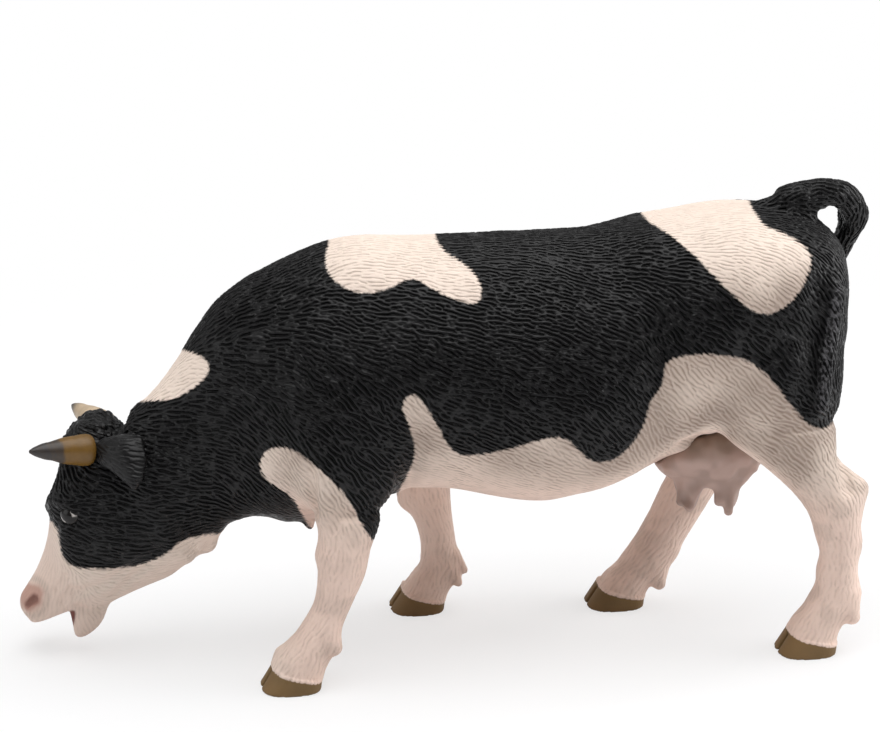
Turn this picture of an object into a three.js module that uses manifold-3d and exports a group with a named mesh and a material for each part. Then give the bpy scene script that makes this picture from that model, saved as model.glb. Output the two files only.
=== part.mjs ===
// Cow figurine: a grazing cow of solid vinyl, twelve mouldings joined by glued pegs.
// Millimetres, +Z up. The head points to -X, the cow's left side to -Y, and the hooves stand on z = 0.

import * as THREE from "three";
import { mergeVertices } from "three/addons/utils/BufferGeometryUtils.js";
import Module from "manifold-3d";

const wasm = await Module();
wasm.setup();

// Glued joints: the gap left for glue, and the oblong pegs (length into the socket, breadth, thickness)
const glueGap = 0.3;
const legPegLength = 5;
const legPegBreadth = 5;
const legPegThickness = 3;
const headPegLength = 7;
const headPegBreadth = 10;
const headPegThickness = 5;
const udderPegLength = 4;
const udderPegBreadth = 8;
const udderPegThickness = 4;
const tailPegLength = 4;
const tailPegBreadth = 3;
const tailPegThickness = 2.4;
const hornPegLength = 2.5;
const hornPegDiameter = 2.4;
const earPegLength = 2.5;
const earPegDiameter = 2.4;

// Trunk: heights above the ground, places along it and widths across it
const hipHeight = 73.6;
const loinHeight = 70.2;
const withersHeight = 70.6;
const bellyHeight = 25;
const groinHeight = 36.4;
const brisketHeight = 22.5;
const rumpEnd = 66.5;
const hipPlace = 50;
const bellyPlace = 17;
const withersPlace = -16;
const hipWidth = 36;
const bellyWidth = 45;
const shoulderWidth = 37;
const neckWidth = 20;

// Head: its turn to the cow's right, where it joins the neck, and its widths
const headTurn = THREE.MathUtils.degToRad(20);
const headPivot = -46;
const headHeight = 31;
const browWidth = 18.5;
const cheekWidth = 16;
const muzzleWidth = 11.5;
const jawWidth = 8;

// Horns and ears
const hornDiameter = 5.2;
const hornTipDiameter = 0.8;
const hornReach = 7.7;
const hornFlare = 6;
const earLength = 12;
const earThickness = 1.6;
const earCup = 1.1;

// Legs: half the spread of the feet, and widths across the legs
const foreSpread = 16;
const hindSpread = 13;
const thighWidth = 15;
const armWidth = 13;
const cannonWidth = 7.4;
const hoofWidth = 9.6;
const hoofHeight = 4;
const cleftWidth = 0.9;
const dewclawDiameter = 2.4;
const foreJointHeight = 29;
const hindJointHeight = 40;

// Tail and udder
const tailDiameter = 5.4;
const udderWidth = 16;
const udderDrop = 7.5;
const teatDiameter = 2.6;
const teatLength = 3.6;
const teatSpread = 4;

// Counts of facets
const trunkSides = 32;
const trunkSteps = 3;
const headSides = 22;
const limbSides = 14;
const roundSides = 10;
const stepsPerStation = 2;

// A station of a body: two points [x, z] on the skin, above and below (or before and behind), and the width
// there. widest is where that width lies, as a share from the second point; crown and keel square the two
// halves off.
function station(first, second, width, options = {}) {
  const { y = 0, yaw = 0, widest = 0.5, crown = 2, keel = 2 } = options;
  return [...first, ...second, width, y, yaw, widest, crown, keel];
}

function ringOf([x1, z1, x2, z2, width, y, yaw, widest, crown, keel], sides, grow) {
  const second = new THREE.Vector3(x2, y, z2);
  const axis = new THREE.Vector3(x1, y, z1).sub(second);
  const height = axis.length() + 2 * grow;
  axis.normalize();
  second.addScaledVector(axis, widest * height - grow);
  const across = new THREE.Vector3(Math.sin(yaw), Math.cos(yaw), 0);
  const ring = [];
  for (let side = 0; side < sides; side += 1) {
    const angle = (2 * Math.PI * side) / sides;
    const upper = Math.sin(angle) >= 0;
    const power = 2 / (upper ? crown : keel);
    const reach = (upper ? 1 - widest : widest) * height;
    const outward = Math.sign(Math.cos(angle)) * Math.abs(Math.cos(angle)) ** power * (width / 2 + grow);
    const upward = Math.sign(Math.sin(angle)) * Math.abs(Math.sin(angle)) ** power * reach;
    ring.push(second.clone().addScaledVector(across, outward).addScaledVector(axis, upward));
  }
  return ring;
}

// A closed skin over a row of rings, with a flat face at each end
function skin(rings) {
  const sides = rings[0].length;
  const points = rings.flat();
  const triangles = [];
  for (let row = 0; row + 1 < rings.length; row += 1) {
    for (let side = 0; side < sides; side += 1) {
      const here = row * sides + side;
      const next = row * sides + ((side + 1) % sides);
      triangles.push(here, next, here + sides, next, next + sides, here + sides);
    }
  }
  for (const row of [0, rings.length - 1]) {
    const hub = points.length;
    points.push(rings[row].reduce((sum, point) => sum.add(point), new THREE.Vector3()).divideScalar(sides));
    for (let side = 0; side < sides; side += 1) {
      const here = row * sides + side;
      const next = row * sides + ((side + 1) % sides);
      triangles.push(...(row === 0 ? [hub, next, here] : [hub, here, next]));
    }
  }
  const geometry = new THREE.BufferGeometry().setFromPoints(points);
  geometry.setIndex(signedVolume(points, triangles) < 0 ? triangles.reverse() : triangles);
  return geometry;
}

function signedVolume(points, triangles) {
  let volume = 0;
  for (let t = 0; t < triangles.length; t += 3) {
    const [a, b, c] = [points[triangles[t]], points[triangles[t + 1]], points[triangles[t + 2]]];
    volume += a.dot(b.clone().cross(c)) / 6;
  }
  return volume;
}

// The rings of a smooth body through hand placed stations
function ringsOf(stations, sides, grow, steps) {
  const places = [0];
  for (let i = 1; i < stations.length; i += 1) {
    const [a, b] = [stations[i - 1], stations[i]];
    const step = Math.hypot(b[0] + b[2] - a[0] - a[2], b[1] + b[3] - a[1] - a[3], 2 * (b[5] - a[5])) / 2;
    places.push(places[i - 1] + step);
  }
  const size = stations[0].length;
  const curve = new THREE.CubicInterpolant(places, stations.flat(), size, new Float32Array(size));
  const rings = [];
  for (let i = 0; i + 1 < stations.length; i += 1) {
    for (let step = 0; step < steps; step += 1) {
      const place = THREE.MathUtils.lerp(places[i], places[i + 1], step / steps);
      rings.push(ringOf(Array.from(curve.evaluate(place)), sides, grow));
    }
  }
  rings.push(ringOf(stations.at(-1), sides, grow));
  return rings;
}

function body(stations, sides, grow = 0) {
  return skin(ringsOf(stations, sides, grow, stepsPerStation));
}

// A round tapering body along a curve, with a diameter at each of its points
function taper(points, diameters, sides, grow = 0) {
  const curve = new THREE.CatmullRomCurve3(points);
  const steps = (points.length - 1) * stepsPerStation;
  const frames = curve.computeFrenetFrames(steps);
  const rings = [];
  for (let step = 0; step <= steps; step += 1) {
    const centre = curve.getPoint(step / steps);
    const along = step / stepsPerStation;
    const before = Math.min(Math.floor(along), points.length - 2);
    const diameter = THREE.MathUtils.lerp(diameters[before], diameters[before + 1], along - before);
    const ring = [];
    for (let side = 0; side < sides; side += 1) {
      const angle = (2 * Math.PI * side) / sides;
      const radius = diameter / 2 + grow;
      const point = centre.clone().addScaledVector(frames.normals[step], radius * Math.cos(angle));
      ring.push(point.addScaledVector(frames.binormals[step], radius * Math.sin(angle)));
    }
    rings.push(ring);
  }
  return skin(rings);
}

// Solids for cutting and joining
function solid(geometry) {
  const bare = geometry.clone();
  bare.deleteAttribute("normal");
  bare.deleteAttribute("uv");
  const welded = mergeVertices(bare);
  return new wasm.Manifold(
    new wasm.Mesh({
      numProp: 3,
      vertProperties: Float32Array.from(welded.attributes.position.array),
      triVerts: Uint32Array.from(welded.index.array),
    }),
  );
}

function geometryOf(manifold) {
  const mesh = manifold.getMesh();
  const geometry = new THREE.BufferGeometry();
  geometry.setAttribute("position", new THREE.BufferAttribute(mesh.vertProperties, 3));
  geometry.setIndex(new THREE.BufferAttribute(mesh.triVerts, 1));
  return geometry;
}

// A frame at a joint: its origin, and its z axis pointing from the moulded piece into the one that holds it
function jointFrame(origin, direction, across = new THREE.Vector3(0, 1, 0)) {
  const z = direction.clone().normalize();
  const x = across.clone().cross(z).normalize();
  const y = z.clone().cross(x);
  return new THREE.Matrix4().makeBasis(x, y, z).setPosition(origin);
}

// Everything behind a joint's plane, as one large block
const blockSize = 400;
function beyond(frame, offset) {
  const block = new THREE.BoxGeometry(blockSize, blockSize, blockSize);
  return solid(block.translate(0, 0, blockSize / 2 + offset).applyMatrix4(frame));
}

// An oblong peg that starts a little inside its own piece and stands into the socket
function oblongPeg(frame, length, breadth, thickness, { root = 2 * glueGap, grow = 0 } = {}) {
  const outline = new THREE.Shape();
  const radius = thickness / 2 + grow;
  const half = (breadth - thickness) / 2;
  outline.absarc(half, 0, radius, -Math.PI / 2, Math.PI / 2, false);
  outline.absarc(-half, 0, radius, Math.PI / 2, (3 * Math.PI) / 2, false);
  const options = { depth: length + root + grow, bevelEnabled: false, curveSegments: roundSides / 2 };
  return solid(new THREE.ExtrudeGeometry(outline, options).translate(0, 0, -root).applyMatrix4(frame));
}

// Trunk with the neck, from the buttocks to the throat
const neckYaw = 0.5 * headTurn;
const trunkStations = [
  [[rumpEnd + 0.8, hipHeight - 9], [rumpEnd - 0.3, groinHeight + 11.6], hipWidth - 24],
  [[rumpEnd - 0.4, hipHeight - 5.6], [rumpEnd - 2.1, groinHeight + 5.6], hipWidth - 13, { crown: 2.3 }],
  [[rumpEnd - 4.5, hipHeight - 2.4], [rumpEnd - 7, groinHeight + 3.6], hipWidth - 5, { crown: 2.3 }],
  [[hipPlace, hipHeight], [hipPlace - 2, groinHeight], hipWidth, { crown: 2.5, widest: 0.58 }],
  [[hipPlace - 12, hipHeight - 1.1], [hipPlace - 13.5, groinHeight - 6], bellyWidth - 5, { crown: 2.3 }],
  [[bellyPlace + 8, loinHeight + 0.4], [bellyPlace + 8, bellyHeight + 0.4], bellyWidth - 1, { widest: 0.46 }],
  [[bellyPlace - 6, loinHeight], [bellyPlace - 5, bellyHeight + 0.8], bellyWidth, { widest: 0.44 }],
  [[withersPlace + 12, loinHeight], [withersPlace + 13, bellyHeight + 3.6], bellyWidth - 3, { crown: 1.9 }],
  [[withersPlace, withersHeight], [withersPlace - 3, brisketHeight + 2], shoulderWidth, { crown: 1.7 }],
  [
    [withersPlace - 12, withersHeight - 4.2],
    [withersPlace - 12, brisketHeight],
    shoulderWidth - 6,
    { crown: 1.8 },
  ],
  [[withersPlace - 20.5, withersHeight - 9.6], [withersPlace - 17, brisketHeight], shoulderWidth - 13],
  [
    [headPivot + 3, headHeight + 20.6],
    [headPivot + 9.5, headHeight - 10.4],
    neckWidth,
    { yaw: 0.6 * neckYaw },
  ],
  [[headPivot - 2, headHeight + 14.4], [headPivot + 6, headHeight - 13], neckWidth - 1.5, { yaw: neckYaw }],
  [[headPivot - 7, headHeight + 10], [headPivot + 1, headHeight - 15.4], neckWidth - 2.5, { yaw: neckYaw }],
].map((row) => station(...row));

// Relief of the trunk, alike on both sides: a path of points, its breadth, and how far it rises or sinks
const trunkRelief = [
  // Hollow before the hip
  {
    path: [
      [hipPlace - 24.4, 0.29 * bellyWidth, hipHeight - 7.2],
      [hipPlace - 18.8, 0.38 * bellyWidth, hipHeight - 11.4],
      [hipPlace - 15.6, 0.41 * bellyWidth, hipHeight - 16.1],
    ],
    breadth: 8,
    rise: -1.5,
  },
  // Hip bone
  { path: [[hipPlace - 18.7, 0.25 * hipWidth, hipHeight - 2.1]], breadth: 6, rise: 0.8 },
  // Fold of the flank
  {
    path: [
      [hipPlace - 16.2, 0.42 * bellyWidth, hipHeight - 17.7],
      [hipPlace - 17.1, 0.43 * bellyWidth, hipHeight - 22.2],
      [hipPlace - 18.5, 0.44 * bellyWidth, hipHeight - 27.1],
    ],
    breadth: 5,
    rise: -1,
  },
  // Groove between the neck and the shoulder
  {
    path: [
      [withersPlace - 20, 0.3 * shoulderWidth, withersHeight - 34.7],
      [withersPlace - 14.6, 0.36 * shoulderWidth, withersHeight - 29.3],
      [withersPlace - 10.4, 0.41 * shoulderWidth, withersHeight - 23.9],
    ],
    breadth: 5,
    rise: -0.9,
  },
];

// A ring with the relief pressed into it along the way out from its middle
function relieved(ring) {
  const middle = ring.reduce((sum, point) => sum.add(point), new THREE.Vector3()).divideScalar(ring.length);
  return ring.map((point) => {
    const outward = point.clone().sub(middle).normalize();
    const mirrored = new THREE.Vector3(point.x, Math.abs(point.y), point.z);
    let rise = 0;
    for (const form of trunkRelief) {
      const path = form.path.map((place) => new THREE.Vector3(...place));
      const parts = path.slice(0, Math.max(1, path.length - 1));
      const gaps = parts.map((start, i) => {
        const line = new THREE.Line3(start, path[i + 1] ?? start.clone().setZ(start.z + glueGap));
        return line.closestPointToPoint(mirrored, true, new THREE.Vector3()).distanceTo(mirrored);
      });
      rise += form.rise * Math.exp((-2 * Math.min(...gaps) ** 2) / form.breadth ** 2);
    }
    return point.clone().addScaledVector(outward, rise);
  });
}

const trunkBody = (grow) => solid(skin(ringsOf(trunkStations, trunkSides, grow, trunkSteps).map(relieved)));
const trunk = trunkBody(0);
const grownTrunk = trunkBody(glueGap);

// Legs from the shoulder or hip down to the sole: front edge and back edge, along the body from the withers
// or the hips, with the width there and how much of the spread it has reached
function legStations(start, spread, rows) {
  return rows.map(([front, back, width, share]) =>
    station([start + front[0], front[1]], [start + back[0], back[1]], width, { y: spread * share }),
  );
}

const foreLeft = legStations(withersPlace, -foreSpread, [
  [[-14, 58], [8, 60], armWidth - 6, 0.35],
  [[-13, 46], [10, 46], armWidth + 1, 0.74],
  [[-10, 34.5], [7.5, 34], armWidth - 1, 0.88],
  [[-6.6, 27], [4.4, 28], cannonWidth + 2.2, 0.97],
  [[-6.3, 22.5], [2.4, 23.4], cannonWidth + 1.6, 1],
  [[-6.4, 19], [1.7, 19.4], cannonWidth + 1.2, 1],
  [[-7, 14.2], [-0.2, 15], cannonWidth, 1],
  [[-9.8, 9.6], [-2.2, 10.3], cannonWidth, 1],
  [[-12.4, 6.6], [-3.4, 6.2], hoofWidth - 1, 1],
  [[-14, hoofHeight + 0.4], [-5, hoofHeight - 0.6], hoofWidth - 0.6, 1],
  [[-16.4, 0], [-5.9, 0], hoofWidth, 1],
]);
const foreRight = legStations(withersPlace, foreSpread, [
  [[-12, 58], [10, 60], armWidth - 6, 0.35],
  [[-8, 46], [14, 46], armWidth + 1, 0.74],
  [[2, 34.5], [19, 34], armWidth - 1, 0.88],
  [[8.5, 27], [20.2, 27], cannonWidth + 2.2, 0.97],
  [[11, 21], [20.2, 21.4], cannonWidth + 1.6, 1],
  [[13.8, 16], [20.6, 16], cannonWidth + 1.2, 1],
  [[15, 11.5], [21.3, 11.2], cannonWidth, 1],
  [[14.5, 7.8], [21.8, 7.6], cannonWidth, 1],
  [[12.8, 5.8], [21.4, 5.2], hoofWidth - 1, 1],
  [[11.6, hoofHeight], [20, hoofHeight - 0.6], hoofWidth - 0.6, 1],
  [[9, 0], [19, 0], hoofWidth, 1],
]);
const hindLeft = legStations(hipPlace, -hindSpread, [
  [[-4, 62], [12, 62], thighWidth - 6, 0.6],
  [[-8, 50], [15, 53], thighWidth + 1, 0.88],
  [[-8.4, 41], [14.6, 42], thighWidth - 1, 0.96],
  [[1.2, 33], [13.6, 37], cannonWidth + 4, 1],
  [[6.5, 28], [15.4, 32.4], cannonWidth + 1.6, 1],
  [[9.4, 24], [19, 29], cannonWidth + 1, 1],
  [[10.6, 20], [18.6, 22.6], cannonWidth, 1],
  [[11, 14.6], [18.2, 15], cannonWidth, 1],
  [[10, 9.6], [18, 8.6], hoofWidth - 1, 1],
  [[7.9, 6.4], [16, 5.4], hoofWidth - 1, 1],
  [[6.7, hoofHeight + 0.4], [15.3, hoofHeight - 0.4], hoofWidth - 0.6, 1],
  [[4.2, 0], [14.7, 0], hoofWidth, 1],
]);
const hindRight = legStations(hipPlace, hindSpread, [
  [[-4, 62], [12, 62], thighWidth - 6, 0.6],
  [[-8, 50], [14, 53], thighWidth + 1, 0.88],
  [[-9.4, 41], [11, 41.6], thighWidth - 1, 0.96],
  [[-8.4, 33.4], [7.4, 34], cannonWidth + 4, 1],
  [[-7.4, 28.6], [4.6, 29.6], cannonWidth + 1.6, 1],
  [[-7.6, 25], [3.4, 25.6], cannonWidth + 1, 1],
  [[-9.4, 21.6], [-0.6, 18.6], cannonWidth, 1],
  [[-11.8, 16], [-4.4, 12.4], cannonWidth, 1],
  [[-16.6, 8], [-8.6, 6.4], hoofWidth - 1, 1],
  [[-19.4, 5.4], [-10.4, 4.4], hoofWidth - 1, 1],
  [[-20.6, hoofHeight], [-11.4, hoofHeight - 0.6], hoofWidth - 0.6, 1],
  [[-23.2, 0], [-12.5, 0], hoofWidth, 1],
]);

// The cleft between the two claws of a hoof, open to the toe and the sole
function cleft(stations) {
  const [toe, , heel, , , y] = stations.at(-1);
  const length = 0.62 * (heel - toe);
  const height = hoofHeight - 0.8;
  const slot = new THREE.BoxGeometry(2 * length, cleftWidth, 2 * height).translate(toe, y, 0);
  return solid(slot);
}

// Two dewclaws that hang behind the fetlock
function dewclaws(stations) {
  const [, , back, height, , y] = stations.at(-3);
  let pair = null;
  for (const side of [-1, 1]) {
    const ball = new THREE.SphereGeometry(dewclawDiameter / 2, roundSides, roundSides / 2);
    const place = [back - 0.2 * dewclawDiameter, y + side * 0.24 * hoofWidth, height + 0.4 * dewclawDiameter];
    const claw = ball.scale(1, 1, 1.6).translate(...place);
    pair = pair ? pair.add(solid(claw)) : solid(claw);
  }
  return pair;
}

// Where a leg's joint plane cuts its axis
function jointPoint(stations, height) {
  const middle = ([x1, z1, x2, z2, , y]) => new THREE.Vector3((x1 + x2) / 2, y, (z1 + z2) / 2);
  const centres = stations.map(middle);
  const after = centres.findIndex((centre) => centre.z < height);
  const [a, b] = [centres[after - 1], centres[after]];
  return a.clone().lerp(b, (a.z - height) / (a.z - b.z));
}

const up = new THREE.Vector3(0, 0, 1);
function legParts(stations, jointHeight) {
  const frame = jointFrame(jointPoint(stations, jointHeight), up);
  const whole = solid(body(stations, limbSides));
  const grown = solid(body(stations, limbSides, glueGap));
  const foot = whole.subtract(beyond(frame, -glueGap)).add(dewclaws(stations)).subtract(cleft(stations));
  return {
    grown,
    stub: whole.intersect(beyond(frame, 0)),
    room: grown.subtract(beyond(frame, 0)),
    socket: oblongPeg(frame, legPegLength, legPegBreadth, legPegThickness, { grow: glueGap }),
    piece: foot.add(oblongPeg(frame, legPegLength, legPegBreadth, legPegThickness)),
  };
}

const legs = {
  leg_fore_left: legParts(foreLeft, foreJointHeight),
  leg_fore_right: legParts(foreRight, foreJointHeight),
  leg_hind_left: legParts(hindLeft, hindJointHeight),
  leg_hind_right: legParts(hindRight, hindJointHeight),
};

// Tail: out of the top of the rump, over in a loop and down behind the right thigh
const tailPath = [
  [hipPlace - 2, 0, hipHeight - 4],
  [rumpEnd - 10, 0, hipHeight - 1],
  [rumpEnd - 4.5, 0.5, hipHeight + 0.8],
  [rumpEnd - 0.5, 1.5, hipHeight + 1],
  [rumpEnd + 2.7, 3, hipHeight - 1.2],
  [rumpEnd + 3.2, 5.4, hipHeight - 5],
  [rumpEnd + 2.2, 8, hipHeight - 9.5],
  [rumpEnd + 0.8, 10.4, hipHeight - 15],
  [rumpEnd + 0.2, 11.6, hipHeight - 21],
  [rumpEnd + 0.4, 12.2, hipHeight - 26],
  [rumpEnd + 1, 12.4, hipHeight - 31],
].map((point) => new THREE.Vector3(...point));
const tailShares = [1.5, 1.4, 1.15, 1.02, 0.98, 0.96, 0.92, 0.92, 1.05, 0.95, 0.3];
const tailJoint = jointFrame(tailPath[1], tailPath[1].clone().sub(tailPath[2]));
const tailWhole = solid(taper(tailPath, tailShares.map((share) => share * tailDiameter), roundSides));
const tailStub = tailWhole.intersect(beyond(tailJoint, 0));
const tailPeg = oblongPeg(tailJoint, tailPegLength, tailPegBreadth, tailPegThickness);
const tailSocket = oblongPeg(tailJoint, tailPegLength, tailPegBreadth, tailPegThickness, { grow: glueGap });
const tail = tailWhole
  .subtract(beyond(tailJoint, -glueGap))
  .subtract(grownTrunk)
  .subtract(legs.leg_hind_right.grown)
  .add(tailPeg);

// Udder: a bag under the belly with four teats
const udderPlace = hipPlace - 4.5;
const udderTop = groinHeight + 2.6;
const udderBottom = groinHeight - 2.9 - udderDrop;
const udderStations = [
  station([udderPlace - 12, udderTop], [udderPlace - 12, udderTop - 6.5], 0.4 * udderWidth),
  station([udderPlace - 8, udderTop], [udderPlace - 8, udderBottom + 2.6], 0.8 * udderWidth),
  station([udderPlace - 1.5, udderTop], [udderPlace - 1.5, udderBottom], udderWidth, { keel: 2.4 }),
  station([udderPlace + 4, udderTop], [udderPlace + 4, udderBottom], 0.96 * udderWidth, { keel: 2.4 }),
  station([udderPlace + 8, udderTop], [udderPlace + 8, udderBottom + 3.4], 0.74 * udderWidth),
  station([udderPlace + 10.5, udderTop], [udderPlace + 10.5, udderTop - 3.5], 0.36 * udderWidth),
];
const udderJoint = jointFrame(new THREE.Vector3(udderPlace, 0, groinHeight), up);
const udderPegRoot = 2.9 + 0.5 * udderDrop;
let udder = solid(body(udderStations, limbSides));
for (const along of [-3.6, 3.2]) {
  for (const side of [-1, 1]) {
    const root = new THREE.Vector3(udderPlace + along, side * teatSpread, udderBottom + 2);
    const tip = root.clone().add(new THREE.Vector3(-0.2, side * 0.4, -teatLength - 2));
    const middle = root.clone().lerp(tip, 0.6);
    udder = udder.add(solid(taper([root, middle, tip], [1.4, 1, 0.5].map((s) => s * teatDiameter), 8)));
  }
}
const udderPegSizes = [udderPegLength, udderPegBreadth, udderPegThickness];
const udderPeg = oblongPeg(udderJoint, ...udderPegSizes, { root: udderPegRoot });
const udderSocket = oblongPeg(udderJoint, ...udderPegSizes, { root: udderPegRoot, grow: glueGap });
udder = udder
  .subtract(grownTrunk)
  .subtract(legs.leg_hind_left.grown)
  .subtract(legs.leg_hind_right.grown)
  .add(udderPeg);

// Head in its own middle plane, forward and upward from the neck joint, then turned about an upright axis
const turned = new THREE.Matrix4()
  .makeTranslation(headPivot, 0, headHeight)
  .multiply(new THREE.Matrix4().makeRotationZ(-headTurn));
const headStations = [
  station([0.5, 16], [11, -11], neckWidth - 1, { yaw: neckYaw - headTurn }),
  station([-3.5, 12.2], [6, -14], neckWidth - 1.5, { yaw: 0.5 * (neckYaw - headTurn) }),
  station([-7, 9.6], [3, -15.8], browWidth - 1),
  station([-11.6, 10.4], [0, -17.3], browWidth - 0.5),
  station([-16.2, 5.6], [-3, -18.8], browWidth, { widest: 0.62 }),
  station([-18, -2], [-5.6, -20.1], browWidth - 0.5, { widest: 0.64 }),
  station([-19, -7.6], [-8, -21.4], cheekWidth - 1, { widest: 0.55 }),
  station([-20.2, -12.6], [-10.6, -22.8], cheekWidth - 4),
  station([-22, -17], [-13, -24.2], muzzleWidth - 0.5),
  station([-24, -20.4], [-15.8, -25.4], muzzleWidth),
  station([-24.9, -22.8], [-19.4, -26.4], muzzleWidth - 1.2),
  station([-24.2, -25], [-21.8, -26.4], muzzleWidth - 4.5),
];
const chinStations = [
  station([-14.5, -21], [-7.5, -19], jawWidth),
  station([-16.3, -24.6], [-9.8, -22.6], jawWidth),
  station([-16.5, -26.6], [-10.8, -25.8], jawWidth - 0.4),
  station([-15.9, -28.1], [-12.4, -27.5], jawWidth - 2),
  station([-15.2, -28.5], [-13.6, -28.3], jawWidth - 4.5),
];
const headJoint = jointFrame(
  new THREE.Vector3(headPivot + 1, 0, headHeight),
  new THREE.Vector3(0.92, 0, 0.39).transformDirection(turned),
);
const headWhole = solid(body(headStations, headSides).applyMatrix4(turned));
const chin = solid(body(chinStations, limbSides).applyMatrix4(turned));
const headPeg = oblongPeg(headJoint, headPegLength, headPegBreadth, headPegThickness);
const headSocket = oblongPeg(headJoint, headPegLength, headPegBreadth, headPegThickness, { grow: glueGap });
const skull = headWhole.add(chin);
const grownSkull = solid(body(headStations, headSides, glueGap).applyMatrix4(turned));
let head = skull.subtract(beyond(headJoint, -glueGap)).add(headPeg);

// Horns: forward and outward from the sides of the poll
const hornBase = new THREE.Vector3(-10.8, 0.5 * browWidth - 1.7, 6.8);
const grownHorns = [];
function horn(side) {
  const base = hornBase.clone().setY(side * hornBase.y);
  const reach = (share, lift) => base.clone().add(
    new THREE.Vector3(-share * hornReach, side * share * hornFlare, lift),
  );
  const inward = new THREE.Vector3(0.1, -side, -0.1).normalize();
  const points = [reach(-0.14, 0), reach(0.25, 0.2), reach(0.65, 0.5), reach(1, 0.7)];
  const diameters = [hornDiameter, 0.87 * hornDiameter, 0.52 * hornDiameter, hornTipDiameter];
  const shaft = (grow) => solid(taper(points, diameters, roundSides, grow).applyMatrix4(turned));
  grownHorns.push(shaft(glueGap));
  const peg = (grow) => solid(taper(
    [reach(0.15, 0), base.clone().addScaledVector(inward, hornPegLength + grow)],
    [hornPegDiameter, hornPegDiameter],
    roundSides,
    grow,
  ).applyMatrix4(turned));
  head = head.subtract(peg(glueGap));
  return shaft(0).subtract(grownSkull).add(peg(0));
}

// Ears: leaves between a front and a rear rim, from the side of the poll to the tip, the right one raised.
// Each rim is given along, across and above the head's pivot, in shares of the ear's length from its root.
const earRoot = new THREE.Vector3(-7.7, 0.5 * browWidth - 2.8, 7);
const earRims = [
  { front: [-0.18, 0.02, -0.13], rear: [0.17, -0.02, 0.13] },
  { front: [-0.03, 0.17, -0.17], rear: [0.42, 0.17, 0.15] },
  { front: [0.13, 0.32, -0.23], rear: [0.63, 0.35, 0.11] },
  { front: [0.31, 0.45, -0.33], rear: [0.7, 0.47, -0.06] },
  { front: [0.47, 0.57, -0.42], rear: [0.54, 0.6, -0.39] },
];
const earLift = { left: 0, right: 2.2 };
function ear(side, lift) {
  const root = earRoot.clone().add(new THREE.Vector3(0, 0, lift));
  const mirror = new THREE.Vector3(1, side, 1);
  const rimPoint = (shares) => root.clone().addScaledVector(new THREE.Vector3(...shares), earLength);
  const facing = new THREE.Vector3(-0.3, 0.75, 0.6).normalize();
  const rings = earRims.map(({ front, rear }) => {
    const [a, b] = [rimPoint(front), rimPoint(rear)];
    const centre = a.clone().add(b).multiplyScalar(0.5);
    const across = b.clone().sub(a).multiplyScalar(0.5);
    const cup = (earCup * 2 * across.length()) / (0.5 * earLength);
    const ring = [];
    for (let step = 0; step < limbSides; step += 1) {
      const angle = (2 * Math.PI * step) / limbSides;
      const sideways = Math.cos(angle);
      const depth = 0.5 * earThickness * Math.sin(angle) + cup * (0.5 - sideways * sideways);
      const point = centre.clone().addScaledVector(across, sideways).addScaledVector(facing, depth);
      ring.push(point.multiply(mirror));
    }
    return ring;
  });
  const peg = (grow) => solid(taper(
    [
      root.clone().add(new THREE.Vector3(0.1, 0.1, 0).multiplyScalar(earLength)).multiply(mirror),
      root.clone().add(new THREE.Vector3(0, -earPegLength - grow, -lift - 0.5)).multiply(mirror),
    ],
    [earPegDiameter * 0.7, earPegDiameter],
    roundSides,
    grow,
  ).applyMatrix4(turned));
  head = head.subtract(peg(glueGap));
  let leaf = solid(skin(rings).applyMatrix4(turned)).subtract(grownSkull).subtract(grownTrunk);
  for (const grown of grownHorns) {
    leaf = leaf.subtract(grown);
  }
  return leaf.add(peg(0));
}

const hornLeft = horn(-1);
const hornRight = horn(1);
const earLeft = ear(-1, earLift.left);
const earRight = ear(1, earLift.right);

// Trunk with its stubs and all its sockets
let torso = trunk.add(tailStub);
for (const leg of Object.values(legs)) {
  torso = torso.add(leg.stub);
}
for (const leg of Object.values(legs)) {
  torso = torso.subtract(leg.room).subtract(leg.socket);
}
torso = torso.subtract(tailSocket).subtract(udderSocket);
torso = torso.intersect(beyond(headJoint, 0)).subtract(headSocket);

// Finishes
const blackVinyl = new THREE.MeshStandardMaterial({ color: 0x17181a, roughness: 0.55, metalness: 0 });
const creamVinyl = new THREE.MeshStandardMaterial({ color: 0xe6d3c6, roughness: 0.6, metalness: 0 });
const hornVinyl = new THREE.MeshStandardMaterial({ color: 0x8a6a3a, roughness: 0.5, metalness: 0 });
const pinkVinyl = new THREE.MeshStandardMaterial({ color: 0xa98678, roughness: 0.55, metalness: 0 });

const pieces = [
  ["torso", torso, blackVinyl],
  ["head", head, blackVinyl],
  ["horn_left", hornLeft, hornVinyl],
  ["horn_right", hornRight, hornVinyl],
  ["ear_left", earLeft, blackVinyl],
  ["ear_right", earRight, blackVinyl],
  ["tail", tail, blackVinyl],
  ["udder", udder, pinkVinyl],
  ...Object.entries(legs).map(([name, leg]) => [name, leg.piece, creamVinyl]),
];

const cow = new THREE.Group();
for (const [name, shape, material] of pieces) {
  const mesh = new THREE.Mesh(geometryOf(shape), material);
  mesh.name = name;
  cow.add(mesh);
}

// The origin lies on the ground under the middle of the whole figure
const box = new THREE.Box3().setFromObject(cow);
const middle = box.getCenter(new THREE.Vector3());
cow.position.set(-middle.x, -middle.y, -box.min.z);

export default cow;
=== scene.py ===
"""Grazing cow figurine in painted vinyl: a sculpted, combed and painted skin, and a white studio."""

import math

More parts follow.
